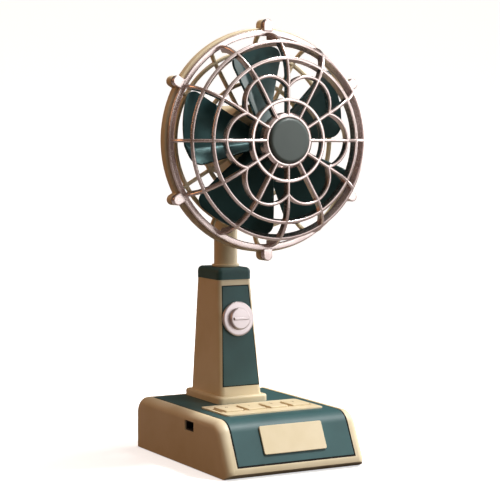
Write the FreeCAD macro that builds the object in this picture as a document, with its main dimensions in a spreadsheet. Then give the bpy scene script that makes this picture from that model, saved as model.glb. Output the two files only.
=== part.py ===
"""Desk fan: guarded head on a swivelling post, tapered column and wedge base, in millimetres.

+Z is up and -Y is the front. The origin is on the surface that the fan stands on, under the
middle of the whole fan. The fan comes apart as head, rotor, neck, stand, dial and four keys.
"""
import FreeCAD, Part
import math
import os
import re
import Sketcher

SIZES = {
    # base: a wedge with a sloped front, seen from the side
    "base_half": 64, "base_front": 87, "base_rear": 87, "base_top": 45, "base_wall": 3,
    "chin_front": 79.5, "lip_low": 4.9, "lip_top": 8.7, "slope_lean": 26.37, "floor_gap": 0.5,
    "front_round": 16, "rear_round": 15, "shoulder_round": 7, "deck_under": 40,
    # cover that is let into the top and the slope
    "cover_half": 53.6, "cover_thick": 2.4, "cover_low": 11.3, "cover_rear": 70, "seam": 1.4,
    # blank plate on the slope
    "plate_half": 28.85, "plate_low": 17.6, "plate_high": 38.9, "plate_proud": 1.7,
    # key block
    "bezel_mid": 0.5, "bezel_half": 45.5, "bezel_front": 50, "bezel_back": 2, "bezel_proud": 1.1,
    "bezel_under": 42, "key_pitch": 21, "key_wide": 16.5, "key_long": 22, "key_mid": 26,
    "key_proud": 1.4, "key_flange": 1.1, "key_play": 0.4, "key_gap": 0.3, "stem_radius": 2.6,
    "stem_end": 38.3, "groove_wide": 2.6, "groove_long": 17.5, "groove_deep": 0.9,
    "board_top": 34.6, "board_thick": 1.6, "dome_radius": 5, "leg_radius": 2.5,
    # power inlet in the left wall
    "inlet_front": 27, "inlet_back": 11, "inlet_low": 30, "inlet_high": 38.4, "inlet_deep": 9,
    "inlet_wall": 1.2,
    # underside
    "floor_plate_low": 1.5, "floor_plate_high": 3.5, "foot_radius": 6, "foot_across": 48,
    "foot_front": 62, "foot_back": 72, "ballast_high": 13, "ballast_half": 44,
    "tower_across": 57.5, "tower_front": 60, "tower_back": 74, "tower_radius": 4,
    # column
    "post_y": 38, "foot_half": 23.7, "ledge_front": 4.5, "ledge_back": 71.5, "column_low": 51,
    "column_top": 149, "column_half_low": 19.7, "column_half_top": 16, "column_front_low": 8.6,
    "column_back_low": 66.5, "column_back_top": 62, "front_lean": 7.21, "column_wall": 2.6,
    "corner_round": 4, "panel_half_low": 16.84, "panel_half_top": 12.24, "panel_low": 8.6,
    "panel_top": 93.1, "panel_thick": 1.4, "panel_seam": 0.8,
    "screw_across": 13.6, "screw_front": 15.5, "screw_back": 60, "wire_radius": 8,
    # screw holes: a pilot grips the thread, a pass hole lets the shank through
    "pilot": 1.2, "pass_hole": 1.7,
    # column cap and swivel
    "cap_half": 16.3, "cap_front": 20.3, "cap_back": 62.4, "cap_top": 159, "cap_round": 4.5,
    "cap_wall": 2.6, "peg_across": 10.2, "peg_front": 25.4, "peg_back": 57.2, "peg_radius": 3,
    "groove_low": 129.5, "groove_top": 130.7, "groove_radius": 9.2,
    "post_radius": 10, "post_bore": 8.4, "post_low": 125, "post_top": 205, "run_fit": 0.05,
    "socket_low": 131, "socket_radius": 12.9, "collar_radius": 11.75, "collar_high": 2,
    "collar_gap": 0.3,
    # tilt joint
    "tilt_z": 226, "ear_radius": 8, "ear_in": 5, "ear_out": 9, "tongue_half": 4.2,
    "bolt_radius": 3, "yoke_radius": 12, "yoke_high": 6,
    # dial
    "dial_along": 65.1, "dial_flange": 14.75, "dial_barrel": 9.3, "dial_flange_top": 2.9,
    "dial_face": 7, "grip_long": 14, "grip_wide": 2.4, "grip_high": 1.8, "spindle_radius": 3,
    # head, along its own axis
    "head_z": 267.6, "hoop_front": 36.3, "joint_y": 32, "band_back": 24, "hoop_outer": 90,
    "hoop_inner": 85, "band_outer": 91.7, "band_inner": 87.2, "front_dome": 35, "dome_rim": 88,
    "dome_flat": 50, "rib_deep": 7, "rib_wide": 2.8, "ring_wide": 3, "ring_a": 32.5,
    "ring_b": 66, "ring_c": 80, "petal_reach": 33.7, "petal_radius": 21.8, "petal_start": 37,
    "boss_radius": 22.5, "boss_step": 20.2, "boss_face": 71.3, "cap_radius": 18,
    "cap_face": 73.7, "lug_reach": 94.5, "lug_radius": 4.5, "lug_front": 37.3, "lug_back": 23.5,
    "rear_dome": 14, "rear_rim": 90, "rear_flat": 72, "rear_deep": 4, "rear_ring_a": 48,
    "rear_ring_b": 73, "mount_plate": 30, "mount_front": 14, "housing_front": 10,
    "housing_radius": 29.5, "housing_wall": 2.3, "housing_back": 36, "dome_back": 54,
    "vent_pitch": 4.5, "vent_high": 1.8, "vent_half": 11,
    "can_radius": 18, "can_back": 30, "shaft_radius": 2.5, "shaft_front": 47, "shaft_back": 39.4,
    "hub_radius": 15, "hub_front": 43, "hub_back": 18, "blade_mid": 33, "blade_reach": 77.5,
    "blade_root": 12, "blade_tip": 79, "root_chord": 19, "tip_chord": 70, "root_pitch": 34,
    "tip_pitch": 17, "blade_thick": 2, "rotor_set": 9, "bush_radius": 5,
    "motor_screw_reach": 12.5, "guard_screw_reach": 24, "cover_screw_reach": 24.6, "eye_radius": 9,
}
BLADES = 5
PETALS = 6
RIBS_ACROSS = 6
LUG_ANGLES = [30, 90, 150, 210, 270, 330]
KEYS = [1, 2, 3, 4]
HEAD = ("0", "head_z")
POST = ("0", "post_y")
TILT = ("post_y", "tilt_z")
TURNS = {
    "X": FreeCAD.Rotation(FreeCAD.Vector(0, 1, 0), 90),
    "Y": FreeCAD.Rotation(FreeCAD.Vector(1, 0, 0), -90),
    "Z": FreeCAD.Rotation(),
}

doc = FreeCAD.newDocument("desk_fan")
sheet = doc.addObject("Spreadsheet::Sheet", "sizes")
for row, (alias, number) in enumerate(SIZES.items(), start=1):
    sheet.set(f"A{row}", alias)
    sheet.set(f"B{row}", str(number))
    sheet.setAlias(f"B{row}", alias)
doc.recompute()

pieces = []


# ---------------------------------------------------------------- formulas and placing
def formula(text):
    """Write a formula of size names in the form that a property's expression reads."""
    def full_name(word):
        return "sizes." + word[0] if word[0] in SIZES else word[0]

    return re.sub(r"[a-z_]+", full_name, str(text))


def number_of(text):
    """Work out a formula of size names."""
    result = sheet.evalExpression(formula(text))
    return float(getattr(result, "Value", result))


def bind(thing, **formulas):
    """Tie properties of an object to formulas of size names."""
    for name, text in formulas.items():
        thing.setExpression(name, formula(text))


def move_to(thing, x=0, y=0, z=0):
    """Tie an object's place to formulas of size names."""
    for letter, text in (("x", x), ("y", y), ("z", z)):
        thing.setExpression("Placement.Base." + letter, formula(text))


def turn_to(thing, rotation):
    thing.Placement = FreeCAD.Placement(thing.Placement.Base, rotation)


def front_point(along, out):
    """A point on the column's sloping front: along it from its foot, and out of it."""
    y = f"column_front_low + ({along})*sin(front_lean) - ({out})*cos(front_lean)"
    z = f"column_low + ({along})*cos(front_lean) + ({out})*sin(front_lean)"
    return "0", y, z


def front_turn():
    """The turn that lays a local XY drawing onto the column's sloping front."""
    return FreeCAD.Rotation(FreeCAD.Vector(1, 0, 0), 90 - number_of("front_lean"))


def about_head(radius, degrees):
    """Places (x, z) on a circle about the head's axis."""
    return [(f"({radius})*cos({angle})", f"head_z + ({radius})*sin({angle})") for angle in degrees]


def corners(across, front, back, middle="0"):
    """Four places (x, y), the same distance each side of the middle."""
    return [(f"{middle} + {side}*({across})", depth) for side in (-1, 1) for depth in (front, back)]


def span(middle, half):
    """The two ends of a length that is centred on a place."""
    return f"{middle} - ({half})", f"{middle} + ({half})"


# ---------------------------------------------------------------- simple solids and booleans
def block(name, xs, ys, zs):
    """A box between two formulas on each axis."""
    length, width, height = [f"({high}) - ({low})" for low, high in (xs, ys, zs)]
    solid = doc.addObject("Part::Box", name)
    bind(solid, Length=length, Width=width, Height=height)
    move_to(solid, xs[0], ys[0], zs[0])
    return solid


def rod(name, axis, radius, start, end, centre=("0", "0")):
    """A cylinder along one axis; centre is its place on the other two axes, in order."""
    solid = doc.addObject("Part::Cylinder", name)
    bind(solid, Radius=radius, Height=f"({end}) - ({start})")
    turn_to(solid, TURNS[axis])
    base = list(centre)
    base.insert("XYZ".index(axis), start)
    move_to(solid, *base)
    return solid


def head_rod(name, radius, start, end):
    """A cylinder on the head's own axis."""
    return rod(name, "Y", radius, start, end, HEAD)


def front_rod(name, radius, along, low, high):
    """A cylinder square to the column's sloping front."""
    solid = doc.addObject("Part::Cylinder", name)
    bind(solid, Radius=radius, Height=f"({high}) - ({low})")
    turn_to(solid, front_turn())
    move_to(solid, *front_point(along, low))
    return solid


def join(name, *parts):
    joined = doc.addObject("Part::MultiFuse", name)
    joined.Shapes = list(parts)
    return joined


def cut(name, base, *tools):
    result = doc.addObject("Part::Cut", name)
    result.Base = base
    result.Tool = tools[0] if len(tools) == 1 else join(name + "_tools", *tools)
    return result


def overlap(name, *parts):
    common = doc.addObject("Part::MultiCommon", name)
    common.Shapes = list(parts)
    return common


def group(name, *parts):
    """Separate solids of one kind, kept together as one sub-part."""
    together = doc.addObject("Part::Compound", name)
    together.Links = list(parts)
    return together


def tube(name, axis, outer, inner, start, end, centre=("0", "0")):
    wall = rod(name + "_outer", axis, outer, start, end, centre)
    bore = rod(name + "_bore", axis, inner, start, end, centre)
    return cut(name, wall, bore)


def rods(name, axis, radius, start, end, places):
    return [rod(f"{name}_{i}", axis, radius, start, end, place) for i, place in enumerate(places)]


def screws(name, axis, places, seat, tip, head=2.2, shank=1.2, head_high=1.4):
    """Pan-head screws: the head stands off the seat, the shank runs from the seat to the tip."""
    way = 1 if number_of(tip) > number_of(seat) else -1
    made = []
    for i, place in enumerate(places):
        ends = [seat, f"({seat}) - ({way * head_high})"]
        low, high = (ends[1], ends[0]) if way > 0 else (ends[0], ends[1])
        start, end = (seat, tip) if way > 0 else (tip, seat)
        cap = rod(f"{name}_head_{i}", axis, head, low, high, place)
        stem = rod(f"{name}_shank_{i}", axis, shank, start, end, place)
        made.append(join(f"{name}_{i}", cap, stem))
    return group(name, *made)


# ---------------------------------------------------------------- bodies with sketches
def drawing(body, role, name, points, lift=None):
    """A closed outline of straight lines on one of the body's own planes, every point dimensioned."""
    plane = next(item for item in body.Origin.OriginFeatures if item.Role == role)
    sketch = body.newObject("Sketcher::SketchObject", name)
    sketch.AttachmentSupport = [(plane, "")]
    sketch.MapMode = "FlatFace"
    if lift is not None:
        sketch.setExpression("AttachmentOffset.Base.z", formula(lift))
    placed = [FreeCAD.Vector(number_of(across), number_of(up), 0) for across, up in points]
    count = len(points)
    for i in range(count):
        sketch.addGeometry(Part.LineSegment(placed[i], placed[(i + 1) % count]))
    for i in range(count):
        sketch.addConstraint(Sketcher.Constraint("Coincident", i, 2, (i + 1) % count, 1))
    for i, (across, up) in enumerate(points):
        for kind, text, value in (("DistanceX", across, placed[i].x), ("DistanceY", up, placed[i].y)):
            index = sketch.addConstraint(Sketcher.Constraint(kind, -1, 1, i, 1, value))
            sketch.setExpression(f"Constraints[{index}]", formula(text))
    return sketch


def pad(name, role, points, length, both_ways=False, lift=None, backwards=False):
    """A body that is one padded outline."""
    body = doc.addObject("PartDesign::Body", name)
    feature = body.newObject("PartDesign::Pad", name + "_pad")
    feature.Profile = drawing(body, role, name + "_outline", points, lift)
    feature.SideType = "Symmetric" if both_ways else "One side"
    feature.Reversed = backwards
    bind(feature, Length=length)
    body.Tip = feature
    doc.recompute()
    return body


def turned(name, points, role="XY_Plane"):
    """A body turned about its own upright axis, which is row Y on the XY plane and row Z on XZ."""
    body = doc.addObject("PartDesign::Body", name)
    feature = body.newObject("PartDesign::Revolution", name + "_turn")
    sketch = drawing(body, role, name + "_outline", points)
    feature.Profile = sketch
    feature.ReferenceAxis = (sketch, ["V_Axis"])
    feature.Angle = 360
    body.Tip = feature
    doc.recompute()
    return body


def head_turned(name, points):
    """A body turned about the head's axis, from points (radius, y)."""
    body = turned(name, points)
    move_to(body, 0, 0, "head_z")
    return body


def rounded(body, name, radius, chosen):
    """Round the edges that the test picks; it is given an edge's box, before the body is placed."""
    tip = body.Tip
    names = [f"Edge{i + 1}" for i, edge in enumerate(tip.Shape.Edges) if chosen(edge.BoundBox)]
    feature = body.newObject("PartDesign::Fillet", name)
    feature.Base = (tip, names)
    bind(feature, Radius=radius)
    body.Tip = feature
    doc.recompute()
    return body


def loft(body, name, first, second, first_lift, second_lift):
    """A ruled loft between two outlines in X and Y, at two heights."""
    feature = body.newObject("PartDesign::AdditiveLoft", name)
    feature.Profile = drawing(body, "XY_Plane", name + "_first", first, first_lift)
    feature.Sections = [drawing(body, "XY_Plane", name + "_second", second, second_lift)]
    feature.Ruled = True
    body.Tip = feature
    doc.recompute()
    return feature


def upright(box):
    return box.ZLength > 1 and box.XLength < 0.01 and box.YLength < 0.01


def tapering(box):
    return box.YLength > 50


def rectangle(half, front, back, middle="0"):
    """Four corners of a rectangle in X and Y, centred across on the middle."""
    left = f"{middle} - ({half})"
    right = f"{middle} + ({half})"
    return [(left, front), (right, front), (right, back), (left, back)]


def keep(thing, label):
    """Name a finished sub-part and list it for writing."""
    thing.Label = label
    pieces.append(thing)
    return thing


# ---------------------------------------------------------------- base
SLOPE_TOP = "-base_front + (base_top - lip_top)*tan(slope_lean)"


def on_slope(height):
    """How far along Y the sloped front is at a height."""
    return f"-base_front + (({height}) - lip_top)*tan(slope_lean)"


def wedge(name, half, inset, top, bottom):
    """The base's side outline, padded across; inset draws it smaller for the hollow inside."""
    points = [
        (f"-chin_front + ({inset})", bottom),
        (f"-base_front + ({inset})*1.3", f"lip_low + ({inset})*0.3"),
        (f"-base_front + ({inset})*1.3", "lip_top"),
        (f"{SLOPE_TOP} + ({inset})*1.2", top),
        (f"base_rear - ({inset})", top),
        (f"base_rear - ({inset})", bottom),
    ]
    return pad(name, "YZ_Plane", points, f"2*({half})", both_ways=True)


def wrap(name, half, thick, low, rear, top="base_top"):
    """A sheet that follows the base's slope and top; thick is measured square to it."""
    inner_low = f"{on_slope(low)} + ({thick})*cos(slope_lean)"
    points = [
        (on_slope(low), low),
        (SLOPE_TOP, top),
        (rear, top),
        (rear, f"{top} - ({thick})"),
        (f"{SLOPE_TOP} + ({thick})*(1 - sin(slope_lean))/cos(slope_lean)", f"{top} - ({thick})"),
        (inner_low, f"({low}) - ({thick})*sin(slope_lean)"),
    ]
    body = pad(name, "YZ_Plane", points, f"2*({half})", both_ways=True)
    bend = number_of(SLOPE_TOP)
    crown = number_of(top)
    rounded(body, name + "_bend", "front_round", lambda box: (
        box.XLength > 20 and abs(box.YMin - bend) < 0.01 and abs(box.ZMin - crown) < 0.01))
    under = number_of(points[4][0])
    ceiling = number_of(points[4][1])
    rounded(body, name + "_inner_bend", f"front_round - ({thick})", lambda box: (
        box.XLength > 20 and abs(box.YMin - under) < 0.01 and abs(box.ZMin - ceiling) < 0.01))
    return body


def tower_places():
    return corners("tower_across", "-tower_front", "tower_back")


def column_screw_places():
    return corners("screw_across", "screw_front", "screw_back")


def base_shell():
    outer = wedge("shell_outer", "base_half", 0, "base_top", "floor_gap")
    bend = number_of(SLOPE_TOP)
    crown = number_of("base_top")
    rounded(outer, "shell_bend", "front_round", lambda box: (
        box.XLength > 20 and abs(box.YMin - bend) < 0.01 and box.ZMin > crown - 0.01))
    rounded(outer, "shell_rear", "rear_round", lambda box: (
        box.XLength > 20 and box.YMin > number_of("base_rear") - 0.01 and box.ZMin > crown - 0.01))
    rounded(outer, "shell_shoulder", "shoulder_round", lambda box: (
        box.XLength < 0.01 and box.ZMax > number_of("lip_low") + 1))
    inner = wedge("shell_hollow", "base_half - base_wall", "base_wall", "deck_under", "-1")
    hollow_bend = number_of(f"{SLOPE_TOP} + base_wall*1.2")
    rounded(inner, "hollow_bends", "rear_round - base_wall", lambda box: (
        box.XLength > 20 and box.ZMin > number_of("deck_under") - 0.01
        and (abs(box.YMin - hollow_bend) < 0.01 or box.YMin > 0)))
    recess = wrap("shell_recess", "cover_half + seam", "cover_thick + 0.1",
                  "cover_low - seam", "cover_rear + seam")
    towers = rods("shell_tower", "Z", "tower_radius", "floor_plate_high", "30", tower_places())
    tower_holes = rods("shell_tower_hole", "Z", "pilot", "floor_plate_high", "20", tower_places())
    key_window = block("shell_key_window", ("bezel_mid - bezel_half", "bezel_mid + bezel_half"),
                       ("-bezel_front - 1", "-bezel_back + 1"), ("30", "base_top"))
    wire_hole = rod("shell_wire_hole", "Z", "wire_radius", "30", "base_top", POST)
    screw_holes = rods("shell_screw_hole", "Z", "pass_hole", "30", "base_top", column_screw_places())
    inlet = block("shell_inlet", ("-base_half - 1", "-base_half + base_wall + 1"),
                  ("-inlet_front", "-inlet_back"), ("inlet_low", "inlet_high"))
    hollow = cut("shell_walls", outer, inner)
    keep(cut("base_shell", join("shell_solid", hollow, *towers), recess, key_window, wire_hole,
             *screw_holes, *tower_holes, inlet), "base_shell")


def base_cover():
    sheet_metal = wrap("cover_sheet", "cover_half", "cover_thick", "cover_low", "cover_rear")
    window = block("cover_window", ("bezel_mid - bezel_half + 2.3", "bezel_mid + bezel_half - 2.3"),
                   ("-bezel_front + 1.8", "-bezel_back - 1.8"), ("30", "50"))
    wire_hole = rod("cover_wire_hole", "Z", "wire_radius", "30", "50", POST)
    holes = rods("cover_screw_hole", "Z", "pass_hole", "30", "50", column_screw_places())
    keep(cut("base_cover", sheet_metal, window, wire_hole, *holes), "base_cover")


def name_plate():
    """A blank plate that lies on the sloped part of the cover."""
    length = "(plate_high - plate_low)/cos(slope_lean)"
    body = pad("name_plate", "XY_Plane", rectangle("plate_half", "0", length), "plate_proud")
    rounded(body, "plate_corners", "1.6", upright)
    turn_to(body, FreeCAD.Rotation(FreeCAD.Vector(1, 0, 0), 90 - number_of("slope_lean")))
    move_to(body, 0, on_slope("plate_low"), "plate_low")
    keep(body, "name_plate")


def key_centre(number):
    return f"bezel_mid + {number - 2.5}*key_pitch"


def key_bezel():
    outline = rectangle("bezel_half", "-bezel_front", "-bezel_back", "bezel_mid")
    plate = pad("bezel_plate", "XY_Plane", outline, "bezel_proud", lift="base_top")
    rounded(plate, "bezel_corners", "3.5", upright)
    skirt = block("bezel_skirt", ("bezel_mid - bezel_half + 2.8", "bezel_mid + bezel_half - 2.8"),
                  ("-bezel_front + 2.3", "-bezel_back - 2.3"), ("bezel_under", "base_top"))
    legs = rods("bezel_leg", "Z", "leg_radius", "board_top", "base_top", board_corners())
    leg_holes = rods("bezel_leg_hole", "Z", "pilot", "board_top", "41", board_corners())
    windows = []
    for number in KEYS:
        sides = span(key_centre(number), "key_wide/2 + key_play")
        ends = span("-key_mid", "key_long/2 + key_play")
        windows.append(block(f"bezel_window_{number}", sides, ends, ("30", "50")))
    grooves = []
    for number in KEYS + [len(KEYS) + 1]:
        sides = span(f"{key_centre(number)} - key_pitch/2", "groove_wide/2")
        ends = span("-key_mid", "groove_long/2")
        depth = ("base_top + bezel_proud - groove_deep", "50")
        grooves.append(block(f"bezel_groove_{number}", sides, ends, depth))
    solid = join("bezel_solid", plate, skirt, *legs)
    keep(cut("key_bezel", solid, *windows, *grooves, *leg_holes), "key_bezel")


def board_corners():
    return corners("bezel_half - 5.4", "-bezel_front + 4.6", "-bezel_back - 4.6", "bezel_mid")


def keys():
    for number in KEYS:
        middle = key_centre(number)
        top = "base_top + bezel_proud + key_proud"
        low = "bezel_under - key_gap - key_flange"
        cap = pad(f"key_cap_{number}", "XY_Plane",
                  rectangle("key_wide/2", "-key_mid - key_long/2", "-key_mid + key_long/2", middle),
                  f"{top} - ({low})", lift=low)
        rounded(cap, f"key_corners_{number}", "1.2", upright)
        rounded(cap, f"key_edge_{number}", "0.5", lambda box: box.ZMin > number_of("base_top + bezel_proud"))
        flange = block(f"key_flange_{number}", span(middle, "key_wide/2 + key_flange"),
                       span("-key_mid", "key_long/2 + key_flange"), (low, "bezel_under - key_gap"))
        stem = rod(f"key_stem_{number}", "Z", "stem_radius", "stem_end", low, (middle, "-key_mid"))
        keep(join(f"key_{number}", cap, flange, stem), f"key_{number}")
        dome = doc.addObject("Part::Cone", f"key_dome_{number}")
        bind(dome, Radius1="dome_radius", Radius2="stem_radius", Height="stem_end - board_top")
        move_to(dome, middle, "-key_mid", "board_top")
        keep(dome, f"key_dome_{number}")


def circuit_board():
    board = block("board_blank", ("bezel_mid - bezel_half + 2", "bezel_mid + bezel_half - 2"),
                  ("-bezel_front + 1", "-bezel_back - 1"), ("board_top - board_thick", "board_top"))
    holes = rods("board_hole", "Z", "1.4", "30", "40", board_corners())
    chip = block("board_chip", ("-8", "8"), ("-34", "-20"),
                 ("board_top - board_thick - 3", "board_top - board_thick"))
    keep(join("circuit_board", cut("board_drilled", board, *holes), chip), "circuit_board")
    fixings = screws("board_screws", "Z", board_corners(), "board_top - board_thick", "40.5")
    keep(fixings, "board_screws")


def inlet_socket():
    case = block("inlet_case", ("-base_half + 1.2", "-base_half + 14"),
                 ("-inlet_front + 0.1", "-inlet_back - 0.1"), ("inlet_low + 0.1", "inlet_high - 0.1"))
    mouth = block("inlet_mouth", ("-base_half", "-base_half + 1.2 + inlet_deep"),
                  ("-inlet_front + inlet_wall", "-inlet_back - inlet_wall"),
                  ("inlet_low + inlet_wall", "inlet_high - inlet_wall"))
    contacts = []
    for side in (-1, 1):
        reach = ("-base_half + inlet_deep - 0.6", "-base_half + inlet_deep + 1.5")
        sides = span(f"-19 + {side}*3.5", "1")
        contacts.append(block(f"inlet_contact_{side + 1}", reach, sides, ("33.4", "35")))
    keep(join("inlet_socket", cut("inlet_hollow", case, mouth), *contacts), "inlet_socket")


def underside():
    places = tower_places()
    weights = [("-30", "40"), ("30", "40")]
    outline = rectangle("base_half - base_wall - 0.6", "-chin_front + 4.6", "base_rear - base_wall - 0.5")
    plate = pad("floor_plate", "XY_Plane", outline, "floor_plate_high - floor_plate_low",
                lift="floor_plate_low")
    rounded(plate, "floor_plate_corners", "4", upright)
    holes = rods("floor_hole", "Z", "1.4", "0", "5", places + weights)
    keep(cut("bottom_plate", plate, *holes), "bottom_plate")
    flat_head = {"head": 2.6, "head_high": 0.9}
    keep(screws("base_screws", "Z", places, "floor_plate_low", "16", **flat_head), "base_screws")
    keep(screws("ballast_screws", "Z", weights, "floor_plate_low", "11", **flat_head), "ballast_screws")
    weight = block("ballast_blank", ("-ballast_half", "ballast_half"), ("8", "68"),
                   ("floor_plate_high", "ballast_high"))
    weight_holes = rods("ballast_hole", "Z", "pilot", "0", "11.5", weights)
    keep(cut("ballast_weight", weight, *weight_holes), "ballast_weight")
    feet = rods("foot", "Z", "foot_radius", "0", "floor_plate_low",
                corners("foot_across", "-foot_front", "foot_back"))
    keep(group("rubber_feet", *feet), "rubber_feet")


# ---------------------------------------------------------------- column
COLUMN_FRONT_TOP = "column_front_low + (column_top - column_low)*tan(front_lean)"


def column_foot():
    body = pad("foot_block", "XY_Plane", rectangle("foot_half", "ledge_front", "ledge_back"),
               "column_low - base_top", lift="base_top")
    rounded(body, "foot_corners", "corner_round + 1", upright)
    rounded(body, "foot_edge", "2", lambda box: box.ZMin > number_of("column_low") - 0.01)
    opening = block("foot_opening", ("-10", "10"), ("20", "56"), ("40", "60"))
    holes = rods("foot_hole", "Z", "pass_hole", "40", "60", column_screw_places())
    keep(cut("column_foot", body, opening, *holes), "column_foot")
    fixings = screws("column_screws", "Z", column_screw_places(), "deck_under", "63", head=2.8, shank=1.5)
    keep(fixings, "column_screws")


def taper(name, inset):
    """The column's tapered block between its foot and its cap; inset draws it smaller."""
    body = doc.addObject("PartDesign::Body", name)
    wedge_block = body.newObject("PartDesign::AdditiveWedge", name + "_wedge")
    bind(wedge_block,
         Xmin=f"-column_half_low + ({inset})", Xmax=f"column_half_low - ({inset})",
         X2min=f"-column_half_top + ({inset})", X2max=f"column_half_top - ({inset})",
         Ymin="column_low", Ymax="column_top",
         Zmin=f"-column_back_low + ({inset})", Zmax=f"-column_front_low - ({inset})",
         Z2min=f"-column_back_top + ({inset})", Z2max=f"-({COLUMN_FRONT_TOP}) - ({inset})")
    body.Tip = wedge_block
    # the wedge narrows along its own Y, which this turn stands upright
    turn_to(body, FreeCAD.Rotation(FreeCAD.Vector(1, 0, 0), 90))
    doc.recompute()
    return body


def column_shell():
    body = rounded(taper("column_block", "0"), "column_corners", "corner_round", tapering)
    body = cut("column_walls", body, taper("column_hollow", "column_wall"))
    bosses = rods("column_boss", "Z", "3.8", "column_low", "66", column_screw_places())
    boss_holes = rods("column_boss_hole", "Z", "1.5", "column_low", "64", column_screw_places())
    recess = inlay("panel_recess", "panel_seam", "panel_thick + 0.1")
    bush_hole = front_rod("column_bush_hole", "3.6", "dial_along", "-5", "1")
    solid = join("column_solid", body, *bosses)
    keep(cut("column_shell", solid, recess, bush_hole, *boss_holes), "column_shell")


def inlay(name, margin, thick):
    """A tapered sheet let into the column's front, its back face at the inlay's depth."""
    points = [
        (f"-panel_half_low - ({margin})", f"panel_low - ({margin})"),
        (f"panel_half_low + ({margin})", f"panel_low - ({margin})"),
        (f"panel_half_top + ({margin})", f"panel_top + ({margin})"),
        (f"-panel_half_top - ({margin})", f"panel_top + ({margin})"),
    ]
    body = pad(name, "XY_Plane", points, thick)
    turn_to(body, front_turn())
    move_to(body, *front_point("0", "-panel_thick - 0.1"))
    return body


def column_panel():
    sheet_body = inlay("panel_sheet", "0", "panel_thick")
    bush_hole = front_rod("panel_bush_hole", "3.6", "dial_along", "-5", "1")
    keep(cut("column_panel", sheet_body, bush_hole), "column_panel")


def column_cap():
    body = pad("cap_block", "XY_Plane", rectangle("cap_half", "cap_front", "cap_back"),
               "cap_top - column_top", lift="column_top")
    rounded(body, "cap_corners", "cap_round", upright)
    rounded(body, "cap_edge", "cap_round - 0.3", lambda box: box.ZMin > number_of("cap_top") - 0.01)
    inside = block("cap_inside", ("-cap_half + cap_wall", "cap_half - cap_wall"),
                   ("cap_front + cap_wall", "cap_back - cap_wall"), ("column_top", "cap_top - cap_wall"))
    places = corners("peg_across", "peg_front", "peg_back")
    pegs = rods("cap_peg", "Z", "peg_radius", "column_top", "cap_top - cap_wall", places)
    peg_holes = rods("cap_peg_hole", "Z", "pilot", "column_top", "155", places)
    bore = rod("cap_bore", "Z", "post_radius + 0.35", "140", "170", POST)
    shell = cut("cap_shell", body, inside)
    keep(cut("column_cap", join("cap_solid", shell, *pegs), bore, *peg_holes), "column_cap")
    flange = block("socket_flange", span("0", "column_half_top - column_wall - 0.3"),
                   ("24", "59"), ("column_top - 4", "column_top"))
    barrel = rod("socket_barrel", "Z", "socket_radius", "socket_low", "cap_top - cap_wall", POST)
    socket_bore = rod("socket_bore", "Z", "post_radius + run_fit", "120", "170", POST)
    socket_holes = rods("socket_hole", "Z", "pilot", "140", "150", places)
    solid = join("socket_solid", flange, barrel)
    keep(cut("swivel_socket", solid, socket_bore, *socket_holes), "swivel_socket")
    keep(screws("cap_screws", "Z", places, "column_top - 4", "154", head=2.0), "cap_screws")


def speed_control():
    """Rotary control behind the sloping front; its threaded bush comes out through the panel."""
    case = front_rod("control_case", "8", "dial_along", "-10", "-column_wall - 0.1")
    bush = front_rod("control_bush", "3.5", "dial_along", "-column_wall - 0.1", "2")
    bore = front_rod("control_bore", "spindle_radius + run_fit", "dial_along", "-9", "3")
    keep(cut("speed_control", join("control_solid", case, bush), bore), "speed_control")
    nut = doc.addObject("Part::Prism", "nut_blank")
    nut.Polygon = 6
    bind(nut, Circumradius="5.6", Height="1.8")
    turn_to(nut, front_turn())
    move_to(nut, *front_point("dial_along", "-0.1"))
    keep(cut("control_nut", nut, front_rod("nut_bore", "3.5", "dial_along", "-1", "3")), "control_nut")


def speed_knob():
    points = [
        ("0", "2.4"), ("6.5", "2.4"), ("6.5", "0.4"), ("dial_flange", "0.4"),
        ("dial_flange", "dial_flange_top"), ("dial_barrel", "dial_flange_top"),
        ("dial_barrel", "dial_face"), ("0", "dial_face"),
    ]
    body = turned("knob_turned", points, role="XZ_Plane")
    face = number_of("dial_face")
    step = number_of("dial_flange_top")
    across = 2 * number_of("dial_flange")
    rounded(body, "knob_rims", "1", lambda box: (
        (box.ZMin > face - 0.01 and box.XLength > 1)
        or (abs(box.ZMin - step) < 0.01 and box.XLength > across - 0.1)))
    turn_to(body, front_turn())
    move_to(body, *front_point("dial_along", "0"))
    grip = doc.addObject("Part::Box", "knob_grip")
    bind(grip, Length="grip_long", Width="grip_wide", Height="grip_high + 1")
    turn_to(grip, front_turn())
    left = front_point("dial_along - grip_wide/2", "dial_face - 1")
    move_to(grip, "-grip_long/2", left[1], left[2])
    bore = front_rod("knob_bore", "spindle_radius", "dial_along", "2", "5.6")
    keep(cut("speed_knob", join("knob_solid", body, grip), bore), "speed_knob")
    keep(front_rod("control_spindle", "spindle_radius", "dial_along", "-8.5", "5.6"), "control_spindle")


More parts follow.
